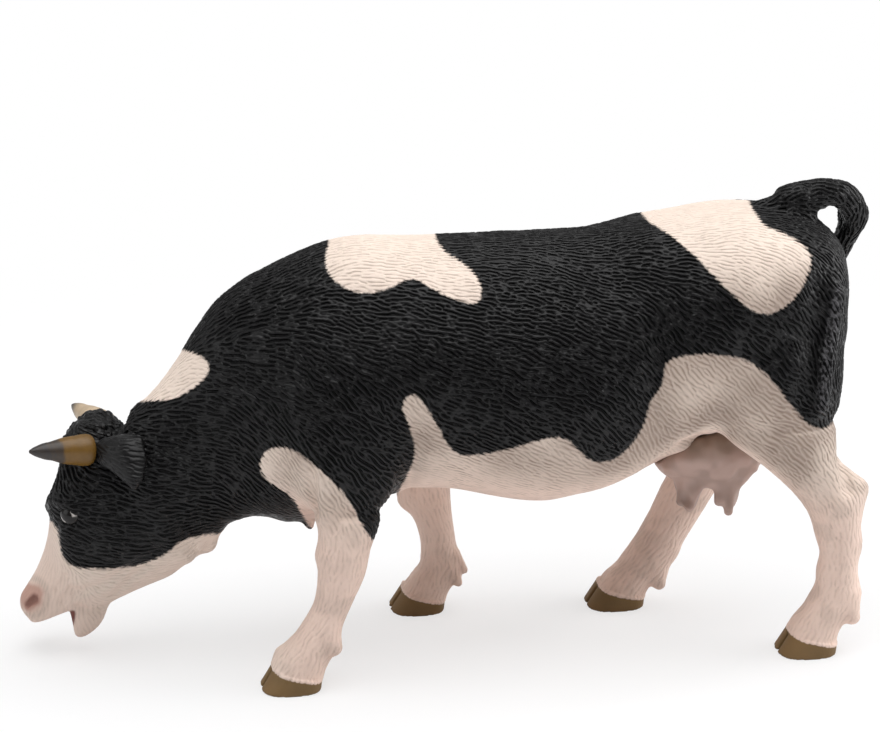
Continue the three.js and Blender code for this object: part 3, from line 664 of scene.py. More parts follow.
class Grid:
    """Distances to a skin on a regular grid whose first cell is at low."""

    def __init__(self, values, low, cell):
        self.values = values
        self.low = np.asarray(low, float)
        self.cell = cell

    def sample(self, points):
        """Distances at points; a point outside the grid takes the nearest edge."""
        size = np.array(self.values.shape)
        place = np.clip((points - self.low) / self.cell, 0, size - 1.001)
        corner = place.astype(int)
        x, y, z = corner.T
        total = 0
        for (i, j, k), weight in corner_weights((place - corner).astype(np.float32)):
            total = total + weight * self.values[x + i, y + j, z + k]
        return total

    def window(self, low, high):
        """The slices of a box, and its coordinates along each axis."""
        first = np.maximum(np.floor((np.asarray(low) - self.low) / self.cell).astype(int), 0)
        last = np.ceil((np.asarray(high) - self.low) / self.cell).astype(int) + 1
        last = np.minimum(last, self.values.shape)
        part = tuple(slice(a, b) for a, b in zip(first, last))
        axes = [self.low[i] + self.cell * np.arange(first[i], last[i]) for i in range(3)]
        return part, np.meshgrid(*axes, indexing="ij", sparse=True)

    def swell(self, path, radius, amount):
        """Raises the skin along a path of points, or sinks it where the amount is negative."""
        path = np.atleast_2d(np.asarray(path, float))
        part, axes = self.window(path.min(0) - 2 * radius, path.max(0) + 2 * radius)
        ends = path[1:] if len(path) > 1 else path
        nearest = np.minimum.reduce([segment_gap(a, b, *axes)[1] for a, b in zip(path, ends)])
        self.values[part] -= amount * np.exp(-2 * nearest / radius**2)

    def shape(self, forms, found=np.array, mirror=None):
        """Swells the skin by forms, each a path, a radius and a height, and by their mirror images."""
        for path, radius, amount in forms:
            points = np.array([found(place) for place in path])
            self.swell(points, radius, amount)
            if mirror:
                self.swell(mirror(points), radius, amount)

    def join(self, other, width):
        """Adds a grid of the same cell size."""
        size = np.array(self.values.shape)
        shift = np.round((other.low - self.low) / self.cell).astype(int)
        first = np.maximum(shift, 0)
        last = np.minimum(shift + other.values.shape, size)
        part = tuple(slice(a, b) for a, b in zip(first, last))
        inner = tuple(slice(a, b) for a, b in zip(first - shift, last - shift))
        self.values[part] = smooth_least(self.values[part], other.values[inner], width)

    def add(self, low, high, distance, width):
        part, axes = self.window(low, high)
        self.values[part] = smooth_least(self.values[part], distance(*axes), width)

    def cut(self, low, high, distance, width):
        part, axes = self.window(low, high)
        self.values[part] = -smooth_least(-self.values[part], distance(*axes), width)

    def capsule(self, a, b, first, last, width):
        """Adds a round bar between two points, with a radius at each end."""
        reach = max(first, last) + width + 1
        self.add(np.minimum(a, b) - reach, np.maximum(a, b) + reach, round_bar(a, b, first, last), width)

    def bore(self, a, b, first, last, width):
        """Cuts out a round bar between two points, with a radius at each end."""
        low, high = np.minimum(a, b) - CUT_MARGIN, np.maximum(a, b) + CUT_MARGIN
        self.cut(low, high, round_bar(a, b, first, last), width)

    def seen(self, pixel):
        """The point of the skin that the camera sees at a pixel."""
        ray = line_of_sight(pixel)
        travel = CAMERA_DISTANCE - SIGHT_RANGE
        for _ in range(SIGHT_STEPS):
            point = EYE + travel * ray
            distance = float(self.sample(point[None])[0])
            if distance < SIGHT_TOUCH:
                break
            travel += max(SIGHT_SHARE * distance, SIGHT_LEAST)
        return point

    def brink(self, pixel, beyond=SIGHT_RANGE):
        """The point nearest to the skin on the line of sight of a pixel at the outline."""
        reach = np.arange(CAMERA_DISTANCE - SIGHT_RANGE, CAMERA_DISTANCE + beyond, self.cell)
        places = EYE + reach[:, None] * line_of_sight(pixel)
        return places[self.sample(places).argmin()]

    def mesh(self):
        """The skin as points and quads, facing out."""
        grid = openvdb.FloatGrid(background=1.0)
        grid.copyFromArray(np.clip(self.values, -1.0, 1.0))
        points, quads = grid.convertToQuads(0.0)
        return points * self.cell + self.low, quads.astype(np.int64)


def node_mesh(node):
    """A moulding's corners in millimetres and its triangles."""
    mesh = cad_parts[node].data
    mesh.calc_loop_triangles()
    points = np.empty(len(mesh.vertices) * 3, np.float32)
    mesh.vertices.foreach_get("co", points)
    triangles = np.empty(len(mesh.loop_triangles) * 3, np.int32)
    mesh.loop_triangles.foreach_get("vertices", triangles)
    return points.reshape(-1, 3) / MM, triangles.reshape(-1, 3).astype(np.uint32)


def mesh_grid(points, triangles, cell, sigma):
    """A mesh's distances in its own box, blurred by sigma millimetres to lose the facets."""
    level = openvdb.FloatGrid.createLevelSetFromPolygons(
        points,
        triangles=triangles,
        transform=openvdb.createLinearTransform(cell),
        halfWidth=BAND / cell,
    )
    pad = math.ceil(BAND / cell)
    first = np.floor(points.min(0) / cell).astype(int) - pad
    last = np.ceil(points.max(0) / cell).astype(int) + pad
    values = np.full(tuple(last - first + 1), BAND, np.float32)
    level.copyToArray(values, ijk=tuple(int(i) for i in first))
    return Grid(blurred(values, sigma / cell), first * cell, cell)


# Noise
rng = np.random.default_rng(SEED)
LATTICE = rng.uniform(-1, 1, (4, TILE, TILE, TILE)).astype(np.float32)


def noise(points, cell, layer=0):
    """Smooth noise from -1 to 1, with a feature in every cell."""
    place = points / cell
    corner = np.floor(place)
    part = (place - corner).astype(np.float32)
    x, y, z = (corner.astype(np.int64) % TILE).T
    total = 0
    for (i, j, k), weight in corner_weights(part * part * (3 - 2 * part)):
        total = total + weight * LATTICE[layer, (x + i) % TILE, (y + j) % TILE, (z + k) % TILE]
    return total


# Sculpting
def joined_skin():
    """The furred mouldings joined without a seam, and the distances of each."""
    grids = {name: mesh_grid(*node_mesh(name), COARSE, blur) for name, (blur, _) in SKIN_NODES.items()}
    low = np.floor((np.array(CAD_BOX[0]) / MM - MARGIN) / COARSE) * COARSE
    high = np.array(CAD_BOX[1]) / MM + MARGIN
    size = np.ceil((high - low) / COARSE).astype(int) + 1
    whole = Grid(np.full(tuple(size), BAND, np.float32), low, COARSE)
    for name, grid in grids.items():
        whole.join(grid, SKIN_NODES[name][1])
    whole.values = doubled(blurred(whole.values, JOIN_BLUR / COARSE))
    whole.cell = FINE
    return whole, grids


def sculpt_body(skin):
    """Adds the forms of the trunk, the tail and the limbs."""
    skin.shape(BREAST_FORMS)
    root = [skin.seen(pixel) - depth * BACK for pixel, depth in TAIL_ROOT]
    skin.capsule(*root, *TAIL_ROOT_SIZE)
    tail = skin.seen(TAIL_PIXEL)
    for pixel, radius in TAIL_HOLE:
        middle = shifted(tail, np.subtract(pixel, TAIL_PIXEL))
        skin.bore(middle - HOLE_REAR * BACK, middle + HOLE_FRONT * BACK, radius, radius, CUT_FILLET)
    for root, tip, first, last in SPURS:
        start = skin.seen(root) - first * BACK
        skin.capsule(start, shifted(start, np.subtract(tip, root)), first, last, SPUR_FILLET)
    skin.shape(TRUNK_FORMS, skin.seen, mirrored_in_body)
    skin.shape(OUTLINE_FORMS, skin.brink, mirrored_in_body)
    skin.shape([UDDER_EDGE], lambda pixel: skin.brink(pixel, 0))
    skin.shape(LIMB_FORMS, skin.seen)
    for pixel, shift, radius, amount in EDGE_FORMS:
        skin.swell(shifted(skin.seen(pixel) - radius * BACK, shift), radius, amount)


def sculpt_head(skin):
    """Carves the face, and returns where the two eyes and the two nostrils are."""
    eye = skin.seen(EYE_PIXEL)
    notch = from_head(NAPE_NOTCH)
    bar = 2 * NAPE_REACH * HEAD_AXES[:, 1]
    groove = round_bar(notch - bar, notch + bar, NAPE_RADIUS, NAPE_RADIUS)
    skin.cut(notch - NAPE_REACH, notch + NAPE_REACH, groove, NAPE_FILLET)
    for ends in zip(POLL, POLL[1:]):
        for offset in (-POLL_SPREAD, 0, POLL_SPREAD):
            skin.capsule(*from_head(np.add(ends, (0, offset, 0))), POLL_RADIUS, POLL_RADIUS, POLL_FILLET)
    nostril = np.array([skin.seen(pixel) for pixel in NOSTRIL_PIXELS])
    skin.shape(HEAD_FORMS, from_head, mirrored_in_head)
    skin.shape(FACE_FORMS, skin.seen, mirrored_in_head)
    skin.shape([FOREHEAD], from_head)
    eyes = [eye, mirrored_in_head(eye)]
    for place in eyes:
        skin.swell(place, *EYE_SOCKET)
    nostrils = [nostril, mirrored_in_head(nostril)]
    for ends in nostrils:
        middle = np.mean(ends, axis=0)
        skin.swell(middle, *NOSTRIL_RIM)
        skin.cut(middle - CUT_MARGIN, middle + CUT_MARGIN, round_bar(*ends, *NOSTRIL_SIZE), CUT_FILLET)
    corner = from_head(MOUTH_CORNER)

    def open_mouth(x, y, z):
        along = (x - corner[0]) * HEAD_AXES[0, 0] + (y - corner[1]) * HEAD_AXES[1, 0]
        above = z - corner[2]
        over_lip = math.sin(LIP_SLOPE) * along - math.cos(LIP_SLOPE) * above
        behind_chin = -math.sin(CHIN_SLOPE) * along + math.cos(CHIN_SLOPE) * above
        return np.maximum(over_lip, behind_chin)

    skin.cut(corner - MOUTH_REACH, corner + MOUTH_REACH, open_mouth, LIP_FILLET)
    return eyes, nostrils


def along_rim(rim, share):
    place = np.linspace(0, 1, len(rim))
    return np.stack([np.interp(share, place, rim[:, i]) for i in range(3)], axis=-1)


def ear_leaf(front_rim, rear_rim, outward):
    """A closed leaf between two rims, bulged to the outside."""
    rows, columns = EAR_LATTICE
    u, v = np.meshgrid(np.linspace(0, 1, rows), np.linspace(0, 1, columns), indexing="ij")
    front, rear = along_rim(front_rim, u), along_rim(rear_rim, u)
    middle = front + v[..., None] * (rear - front)
    normal = unit(np.cross(np.gradient(middle, axis=0), np.gradient(middle, axis=1)))
    normal *= np.sign(normal @ outward)[..., None]
    middle += EAR_BULGE * (4 * v * (1 - v) * (1 - u**2))[..., None] * normal
    half = EAR_THICK * np.sqrt(np.maximum(1 - (2 * v - 1) ** 4, 0.4))[..., None] * normal
    sheets = np.concatenate([(middle + half).reshape(-1, 3), (middle - half).reshape(-1, 3)])
    count = rows * columns
    index = np.arange(count).reshape(rows, columns)
    corners = [index[:-1, :-1], index[1:, :-1], index[1:, 1:], index[:-1, 1:]]
    quads = np.stack(corners, axis=-1).reshape(-1, 4)
    rim = np.concatenate([index[0, :], index[1:, -1], index[-1, -2::-1], index[-2:0:-1, 0]])
    after = np.roll(rim, -1)
    walls = np.stack([rim, after, after + count, rim + count], axis=1)
    quads = np.concatenate([quads[:, ::-1], quads + count, walls])
    triangles = np.concatenate([quads[:, [0, 1, 2]], quads[:, [0, 2, 3]]])
    a, b, c = (sheets[triangles[:, i]] for i in range(3))
    if (a * np.cross(b, c)).sum() < 0:
        triangles = triangles[:, ::-1]
    return sheets.astype(np.float32), triangles.astype(np.uint32)


def add_ears(skin, grids):
    """Joins both ears to the skin, and keeps their distances with those of the other mouldings."""
    rims = []
    for rim in (EAR_FRONT, EAR_REAR):
        rims.append(np.array([skin.seen(pixel) + stand * BACK for pixel, stand in rim]))
    far = [mirrored_in_head(rim) + FAR_EAR_SHIFT for rim in rims]
    outward = -HEAD_AXES[:, 1]
    leaves = {"ear_left": ear_leaf(*rims, outward), "ear_right": ear_leaf(*far, -outward)}
    for name, leaf in leaves.items():
        grids[name] = mesh_grid(*leaf, FINE, 0.5 * FINE)
        skin.join(grids[name], EAR_JOIN)


def hoof_places():
    """Toe, heel, middle and half width of each hoof."""
    places = {}
    for leg in LEGS:
        points, _ = node_mesh(leg)
        sole = points[points[:, 2] < 0.05]
        low, high = sole.min(0), sole.max(0)
        places[leg] = (low[0] - TOE_REACH, high[0], 0.5 * (low[1] + high[1]), 0.5 * (high[1] - low[1]))
    return places


def coronet(x, toe, heel):
    """The height of the line where the coat ends and the hoof begins."""
    share = np.clip((x - toe) / (heel - toe), 0, 1)
    return CORONET_FRONT + share * (CORONET_HEEL - CORONET_FRONT)


def sculpt_hooves(skin, places):
    """Squares the hooves, cuts their clefts and flattens the soles."""
    for toe, heel, middle, half in places.values():
        end = toe + CLEFT_SHARE * (heel - toe)

        def wedge(x, y, z):
            front = toe + TOE_SLOPE * np.maximum(z, 0)
            back = heel + HEEL_SLOPE * np.maximum(z, 0)
            length = 0.5 * (back - front)
            along, across = np.abs(x - 0.5 * (front + back)) / length, np.abs(y - middle) / half
            ring = (along**SOLE_SQUARE + across**SOLE_SQUARE) ** (1 / SOLE_SQUARE)
            return np.maximum((ring - 1) * half, z - coronet(x, toe, heel) - HOOF_LAP)

        def slot(x, y, z):
            gap = np.abs(y - middle) - CLEFT_HALF
            return np.maximum(np.maximum(gap, x - end), z - coronet(x, toe, heel) + CLEFT_STOP)

        low = (toe - CUT_MARGIN, middle - half - CUT_MARGIN, -CUT_MARGIN)
        high = (heel + CUT_MARGIN, middle + half + CUT_MARGIN, CORONET_FRONT + 2)
        skin.add(low, high, wedge, HOOF_FILLET)
        skin.cut(low, high, slot, HOOF_FILLET)
        path, radius, amount = TOE_GROOVE
        skin.swell([(toe + along, middle, above) for along, above in path], radius, amount)
    height = skin.low[2] + FINE * np.arange(skin.values.shape[2])
    skin.values = np.maximum(skin.values, -height.astype(np.float32))


# Coat and patches
def coat_flow(points, normals, legs):
    """The direction that the coat lies in, along the skin."""
    place = pixels(near_side(points))
    total = np.zeros((len(points), 2))
    for pixel, slope in COAT_FLOW:
        gap = ((place - pixel) ** 2).sum(1) / FLOW_REACH**2
        weight = 1 / (0.2 + gap) ** 2
        angle = math.radians(slope)
        total += weight[:, None] * [math.cos(angle), math.sin(angle)]
    angle = np.arctan2(total[:, 1], total[:, 0])
    angle += 0.14 * noise(points, 6.0, 1) + 0.08 * noise(points, 2.6, 2)
    flow = np.stack([np.cos(angle), np.zeros(len(points)), np.sin(angle)], axis=1)
    for leg, share in legs.items():
        axis = leg_axis(leg, points[:, 2])
        flow += share[:, None] * (axis - flow)
    return unit(flow - (flow * normals).sum(1)[:, None] * normals)


def leg_axis(leg, heights):
    """The way down a leg at each height."""
    points, _ = node_mesh(leg)
    levels = np.linspace(*LEG_LEVELS)
    centres = []
    for level in levels:
        ring = points[np.abs(points[:, 2] - level) < 3]
        centres.append(0.5 * (ring.min(0) + ring.max(0))[:2])
    slope = np.gradient(np.array(centres), levels, axis=0)
    lean = np.stack([np.interp(heights, levels, slope[:, i]) for i in range(2)], axis=1)
    return unit(np.concatenate([-lean, -np.ones((len(heights), 1))], axis=1))


def rounded(outline):
    """An outline with its corners cut twice."""
    outline = np.array(outline, float)
    for _ in range(2):
        after = np.roll(outline, -1, axis=0)
        pair = np.stack([0.75 * outline + 0.25 * after, 0.25 * outline + 0.75 * after], axis=1)
        outline = pair.reshape(-1, 2)
    return outline


def outline_depth(places, outline, reach):
    """How far places lie inside an outline; negative outside it, down to the reach."""
    outline = rounded(outline)
    close = ((places > outline.min(0) - reach) & (places < outline.max(0) + reach)).all(1)
    px, py = places[close].T
    inside = np.zeros(len(px), bool)
    nearest = np.full(len(px), 1e9)
    for (ax, ay), (bx, by) in zip(outline, np.roll(outline, -1, axis=0)):
        crosses = (ay > py) != (by > py)
        if by != ay:
            inside ^= crosses & (px < (bx - ax) * (py - ay) / (by - ay) + ax)
        length = max((bx - ax) ** 2 + (by - ay) ** 2, 1e-9)
        t = np.clip(((px - ax) * (bx - ax) + (py - ay) * (by - ay)) / length, 0, 1)
        gap = (px - ax - t * (bx - ax)) ** 2 + (py - ay - t * (by - ay)) ** 2
        nearest = np.minimum(nearest, gap)
    depth = np.full(len(places), -float(reach))
    depth[close] = np.where(inside, 1, -1) * np.sqrt(nearest)
    return depth


def white_depth(points, normals, on_head):
    """How far each point lies inside the white of the coat, in millimetres."""
    seen = ((EYE - points) * normals).sum(1) > 0
    place = pixels(points)
    near = np.max([outline_depth(place, o, PIXEL_REACH) for o in WHITE_NEAR.values()], axis=0)
    far = np.max([outline_depth(points[:, [0, 2]], o, FAR_REACH) for o in WHITE_FAR.values()], axis=0)
    face_place = pixels(from_head(near_side(to_head(points))))
    face = outline_depth(face_place, WHITE_FACE, PIXEL_REACH) / PIXELS_PER_MM
    trunk = np.where(seen, near / PIXELS_PER_MM, far)
    throat = np.where(points[:, 0] < THROAT_END, face, -BEYOND)
    return np.where(on_head, face, np.maximum(trunk, throat))


def stroke_waves(points, normals, flow, white, calm):
    """The coat's strokes as waves across its flow, as complex numbers: angle on the wave, and clearness."""
    cells = np.floor((points - points.min(0)) / (0.5 * STROKE_REACH)).astype(int) + 2
    shape = cells.max(0) + 3
    cells = np.ravel_multi_index(cells.T, shape)
    order = rng.permutation(len(points))
    _, first = np.unique(cells[order], return_index=True)
    tufts = order[first]
    owner = np.full(shape.prod(), -1)
    owner[cells[tufts]] = np.arange(len(tufts))
    start = rng.uniform(0, 2 * math.pi, len(tufts))
    spacing = (STROKE + white * (WHITE_STROKE - STROKE))[tufts]
    stray = (STROKE_STRAY + calm * (CALM_STRAY - STROKE_STRAY))[tufts]
    stray = (stray * rng.normal(0, 1, len(tufts)))[:, None]
    across = np.cross(normals, flow)[tufts]
    flow = np.cos(stray) * flow[tufts] + np.sin(stray) * across
    across = np.cross(normals[tufts], flow)
    total = np.zeros(len(points), complex)
    weight = np.full(len(points), 1e-6)
    for i, j, k in np.ndindex(5, 5, 5):
        shift = ((i - 2) * shape[1] + j - 2) * shape[2] + k - 2
        tuft = owner[cells + shift]
        here = np.nonzero(tuft >= 0)[0]
        tuft = tuft[here]
        gap = points[here] - points[tufts[tuft]]
        along = (gap * flow[tuft]).sum(1) / STROKE_REACH
        sideways = (gap * across[tuft]).sum(1)
        share = np.clip(1 - along**2 - (sideways / STROKE_SPREAD / STROKE_REACH) ** 2, 0, 1) ** 2
        share *= np.clip((normals[here] * normals[tufts[tuft]]).sum(1), 0, 1)
        total[here] += share * np.exp(1j * (2 * math.pi * sideways / spacing[tuft] + start[tuft]))
        weight[here] += share
    return total / weight


# Meshes
def vertex_normals(points, quads):
    a, b, c, d = (points[quads[:, i]] for i in range(4))
    face = np.cross(c - a, d - b)
    total = np.zeros_like(points)
    for i in range(4):
        for axis in range(3):
            total[:, axis] += np.bincount(quads[:, i], face[:, axis], len(points))
    return unit(total)


def ring_quads(rings, sectors):
    """Quads between neighbouring rings of points."""
    index = np.arange(rings * sectors).reshape(rings, sectors)
    after = np.roll(index, -1, axis=1)
    return np.stack([index[:-1], after[:-1], after[1:], index[1:]], axis=-1).reshape(-1, 4)


def channels(*values):
    """Up to four numbers for each point, as a colour layer."""
    spare = [np.ones(len(values[0]))] * (4 - len(values))
    return np.stack([*values, *spare], axis=1)


def make_object(name, points, quads, material, layers, triangles=(), normals=None):
    """A smooth mesh piece from points in millimetres, with layers of four or three numbers on its points."""
    mesh = bpy.data.meshes.new(name)
    triangles = np.reshape(triangles, (-1, 3)).astype(int)
    corners = np.concatenate([quads.ravel(), triangles.ravel()])
    starts = np.concatenate([4 * np.arange(len(quads)), quads.size + 3 * np.arange(len(triangles))])
    mesh.vertices.add(len(points))
    mesh.vertices.foreach_set("co", (points * MM).astype(np.float32).ravel())
    mesh.loops.add(len(corners))
    mesh.loops.foreach_set("vertex_index", corners.astype(np.int32))
    mesh.polygons.add(len(starts))
    mesh.polygons.foreach_set("loop_start", starts.astype(np.int32))
    mesh.update(calc_edges=True)
    mesh.validate()
    mesh.shade_smooth()
    for layer, values in layers.items():
        kind, field = ("FLOAT_COLOR", "color") if values.shape[1] == 4 else ("FLOAT_VECTOR", "vector")
        attribute = mesh.attributes.new(layer, kind, "POINT")
        attribute.data.foreach_set(field, values.astype(np.float32).ravel())
    if normals is not None:
        mesh.normals_split_custom_set_from_vertices(normals.tolist())
    piece = bpy.data.objects.new(name, mesh)
    bpy.context.scene.collection.objects.link(piece)
    mesh.materials.append(material)
    return piece


def install(piece, node):
    """Lets a piece stand for a node, on its body."""
    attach(piece, "root")
    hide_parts(node)


def split_skin(points, quads, labels, names, normals, layers, material):
    """Parts the skin into one closed piece for each moulding."""
    face_label = labels[quads[:, 0]]
    edges = np.concatenate([quads[:, [i, (i + 1) % 4]] for i in range(4)])
    edge_label = np.tile(face_label, 4)
    low_high = np.sort(edges, axis=1)
    order = np.lexsort((low_high[:, 1], low_high[:, 0]))
    same = (low_high[order][1:] == low_high[order][:-1]).all(1)
    first, second = order[:-1][same], order[1:][same]
    differ = edge_label[first] != edge_label[second]
    rim = np.concatenate([first[differ], second[differ]])
    other = np.concatenate([second[differ], first[differ]])
    for index, name in enumerate(names):
        own = quads[face_label == index]
        mine = edge_label[rim] == index
        beside = edge_label[other[mine]]
        used = np.unique(own)
        renumber = np.full(len(points), -1)
        renumber[used] = np.arange(len(used))
        caps, hubs, facing, samples = [], [], [], []
        for hub, neighbour in enumerate(np.unique(beside), len(used)):
            loop = edges[rim[mine][beside == neighbour]]
            ring = np.unique(loop)
            hubs.append(points[ring].mean(0))
            facing.append(unit(hubs[-1] - points[used].mean(0)))
            samples.append(ring[0])
            caps.append(np.column_stack([renumber[loop[:, ::-1]], np.full(len(loop), hub)]))
        rows = np.append(used, samples)
        piece = make_object(
            name + "_painted",
            np.concatenate([points[used], hubs]),
            renumber[own],
            material,
            {layer: values[rows] for layer, values in layers.items()},
            np.concatenate(caps),
            np.concatenate([normals[used], facing]),
        )
        install(piece, name)


# Materials
class Shader:
    """Short calls to lay out the nodes of a material or of the world."""

    def __init__(self, owner):
        owner.use_nodes = True
        self.owner = owner
        self.tree = owner.node_tree

    def found(self, kind):
        return next(node for node in self.tree.nodes if node.type == kind)

    def feed(self, socket, value):
        """Links a socket to another, or gives it a number or a colour."""
        if isinstance(value, bpy.types.NodeSocket):
            self.tree.links.new(value, socket)
        elif isinstance(value, (tuple, list)):
            socket.default_value = (*value[:3], 1)
        else:
            socket.default_value = value

    def node(self, kind, inputs=(), **settings):
        made = self.tree.nodes.new("ShaderNode" + kind)
        for key, value in settings.items():
            setattr(made, key, value)
        for key, value in dict(inputs).items():
            self.feed(made.inputs[key], value)
        return made

    def layer(self, name):
        """The four channels of a colour layer."""
        attribute = self.node("Attribute", attribute_name=name)
        parts = self.node("SeparateColor", {0: attribute.outputs["Color"]})
        return [*parts.outputs, attribute.outputs["Alpha"]]

    def blend(self, share, first, second):
        return self.node("Mix", {0: share, 6: first, 7: second}, data_type="RGBA").outputs[2]

    def number(self, share, first, second, low=0.0, high=1.0, **settings):
        """Runs from the first number to the second while a share goes from low to high."""
        limits = {0: share, 1: low, 2: high, 3: first, 4: second}
        return self.node("MapRange", limits, **settings).outputs[0]

    def maths(self, operation, *values):
        return self.node("Math", enumerate(values), operation=operation).outputs[0]

    def times(self, first, second):
        return self.maths("MULTIPLY", first, second)

    def grain(self, size):
        """Noise with features of a size in millimetres."""
        place = self.node("TexCoord").outputs["Object"]
        return self.node("TexNoise", {"Vector": place, "Scale": 1 / (size * MM)}).outputs[0]

    def combed(self):
        """How far a place lies from the groove between two strokes, and how clear the strokes are there."""
        comb = self.node("Attribute", attribute_name="comb")
        cosine, sine, clear = self.node("SeparateXYZ", {0: comb.outputs["Vector"]}).outputs
        turn = self.maths("ABSOLUTE", self.maths("ARCTAN2", sine, cosine))
        return self.number(turn, 0.5, 0.0, 0.0, math.pi), clear

    def finish(self, colour, roughness, specular=0.5, height=None, depth=0.0, strength=1.0):
        """Sets the surface, with a bump of a depth in millimetres where a height is given."""
        principled = self.found("BSDF_PRINCIPLED")
        self.feed(principled.inputs["Base Color"], colour)
        self.feed(principled.inputs["Roughness"], roughness)
        self.feed(principled.inputs["Specular IOR Level"], specular)
        if height is not None:
            bump = self.node("Bump", {"Strength": strength, "Distance": depth * MM, "Height": height})
            self.feed(principled.inputs["Normal"], bump.outputs[0])
        return self.owner


def paint(name):
    return Shader(bpy.data.materials.new(name))


def edge_limits(half):
    """The shares of the paint range that lie that many millimetres before and after an edge."""
    return 0.5 - half / (2 * PAINT_RANGE), 0.5 + half / (2 * PAINT_RANGE)


def coat_material():
    """Black and cream with dark grooves, brown hooves and a pink nose; the cream turns pink in places and
    darker in painted shade, and the black lighter with wear and a painted highlight.
    """
    s = paint("painted_coat")
    white_share, pink_and_highlight, hoof_share, wash = s.layer("coat")
    nose, dark, relief, shade = s.layer("detail")
    gap, clear = s.combed()
    depth = s.number(clear, 0.0, 1.0, *STROKES_SHOW)
    groove = s.times(s.number(gap, 1.0, 0.0, *GROOVE_EDGE), depth)
    hair = s.times(s.number(gap, 1.0, 0.0, *HAIR_EDGE), depth)
    hair = s.times(hair, s.number(s.grain(1.8), 0.1, 1.5, 0.35, 0.65))
    patchy = s.grain(6.0)
    feather = s.times(s.maths("SUBTRACT", 0.4, groove), FEATHER / (2 * PAINT_RANGE))
    fuzz = s.times(s.maths("SUBTRACT", s.grain(0.6), 0.5), FUZZ / (2 * PAINT_RANGE))
    feather = s.maths("ADD", feather, fuzz)
    white = s.number(s.maths("ADD", white_share, feather), 0.0, 1.0, *edge_limits(WHITE_EDGE))
    # Painted shade darkens the cream, less on the ridges of the strokes
    shade = s.times(shade, s.number(gap, 1.0, 0.65, 0.0, 0.45))
    hoof = s.number(s.maths("MULTIPLY_ADD", feather, 0.4, hoof_share), 1.0, 0.0, *edge_limits(HOOF_EDGE))
    # Wear and a painted highlight make the black lighter along the thigh's rear edge
    worn_highlight = s.times(pink_and_highlight, s.number(s.grain(0.7), 0.0, 1.3, 0.42, 0.6))
    black = s.blend(groove, s.blend(worn_highlight, BLACK_RIDGE, BLACK_WORN_HIGHLIGHT), BLACK_DEEP)
    cream = s.blend(shade, s.blend(pink_and_highlight, CREAM, CREAM_PINK), CREAM_SHADE)
    cream = s.blend(s.times(hair, wash), cream, WASH)
    colour = s.blend(white, black, cream)
    colour = s.blend(hoof, colour, s.blend(patchy, HOOF_DARK, HOOF_LIGHT))
    colour = s.blend(nose, colour, NOSE)
    colour = s.blend(dark, colour, MOUTH)
    roughness = s.maths("ADD", s.number(white, *COAT_ROUGHNESS), s.number(patchy, -0.05, 0.05))
    height = s.times(s.maths("SUBTRACT", 1.0, groove), relief)
    height = s.times(height, s.number(white, 1.0, 0.35))
    height = s.maths("ADD", height, s.times(s.grain(0.25), 0.1))
    return s.finish(colour, roughness, COAT_SPECULAR, height, GROOVE_DEPTH)


def udder_material():
    s = paint("painted_udder")
    shade, hollow_shade, _, _ = s.layer("coat")
    # Painted shade in the hollows between the lumps
    colour = s.blend(s.times(hollow_shade, 0.6), UDDER, UDDER_SHADE)
    # Painted shadow at the top, under the fold of the belly
    colour = s.blend(s.times(shade, 0.8), colour, UDDER_FOLD_SHADOW)
    return s.finish(colour, s.number(s.grain(2.0), 0.45, 0.6), 0.5, s.grain(0.8), 0.08, 0.3)


def horn_material(name, base):
    s = paint(name)
    tip, lines, _, _ = s.layer("coat")
    colour = s.blend(s.grain(1.5), base, [0.75 * c for c in base])
    colour = s.blend(tip, colour, HORN_TIP)
    colour = s.blend(lines, colour, [0.5 * c for c in base])
    return s.finish(colour, s.number(s.grain(2.0), 0.38, 0.5), 0.5, s.grain(0.4), 0.05, 0.3)


def eye_material():
    s = paint("painted_eye")
    rim, _, _, _ = s.layer("coat")
    colour = s.blend(rim, s.blend(s.grain(0.6), PUPIL_DARK, PUPIL_BROWN), EYE_RIM)
    return s.finish(colour, s.number(rim, 0.2, 0.4), 0.3)


# Pieces
def paint_share(distance):
    """A distance to an edge of paint as a share of the paint range."""
    return 0.5 + np.clip(distance, -PAINT_RANGE, PAINT_RANGE) / (2 * PAINT_RANGE)


def nearest_moulding(points, grids):
    """The number of the moulding that each point belongs to."""
    gaps = np.stack([grid.sample(points) for grid in grids.values()])
    for row, name in zip(gaps, grids):
        box_low, box_high = (np.array(corner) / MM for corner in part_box(name))
        row[((points < box_low - BAND) | (points > box_high + BAND)).any(1)] = BAND
    return gaps.argmin(0)


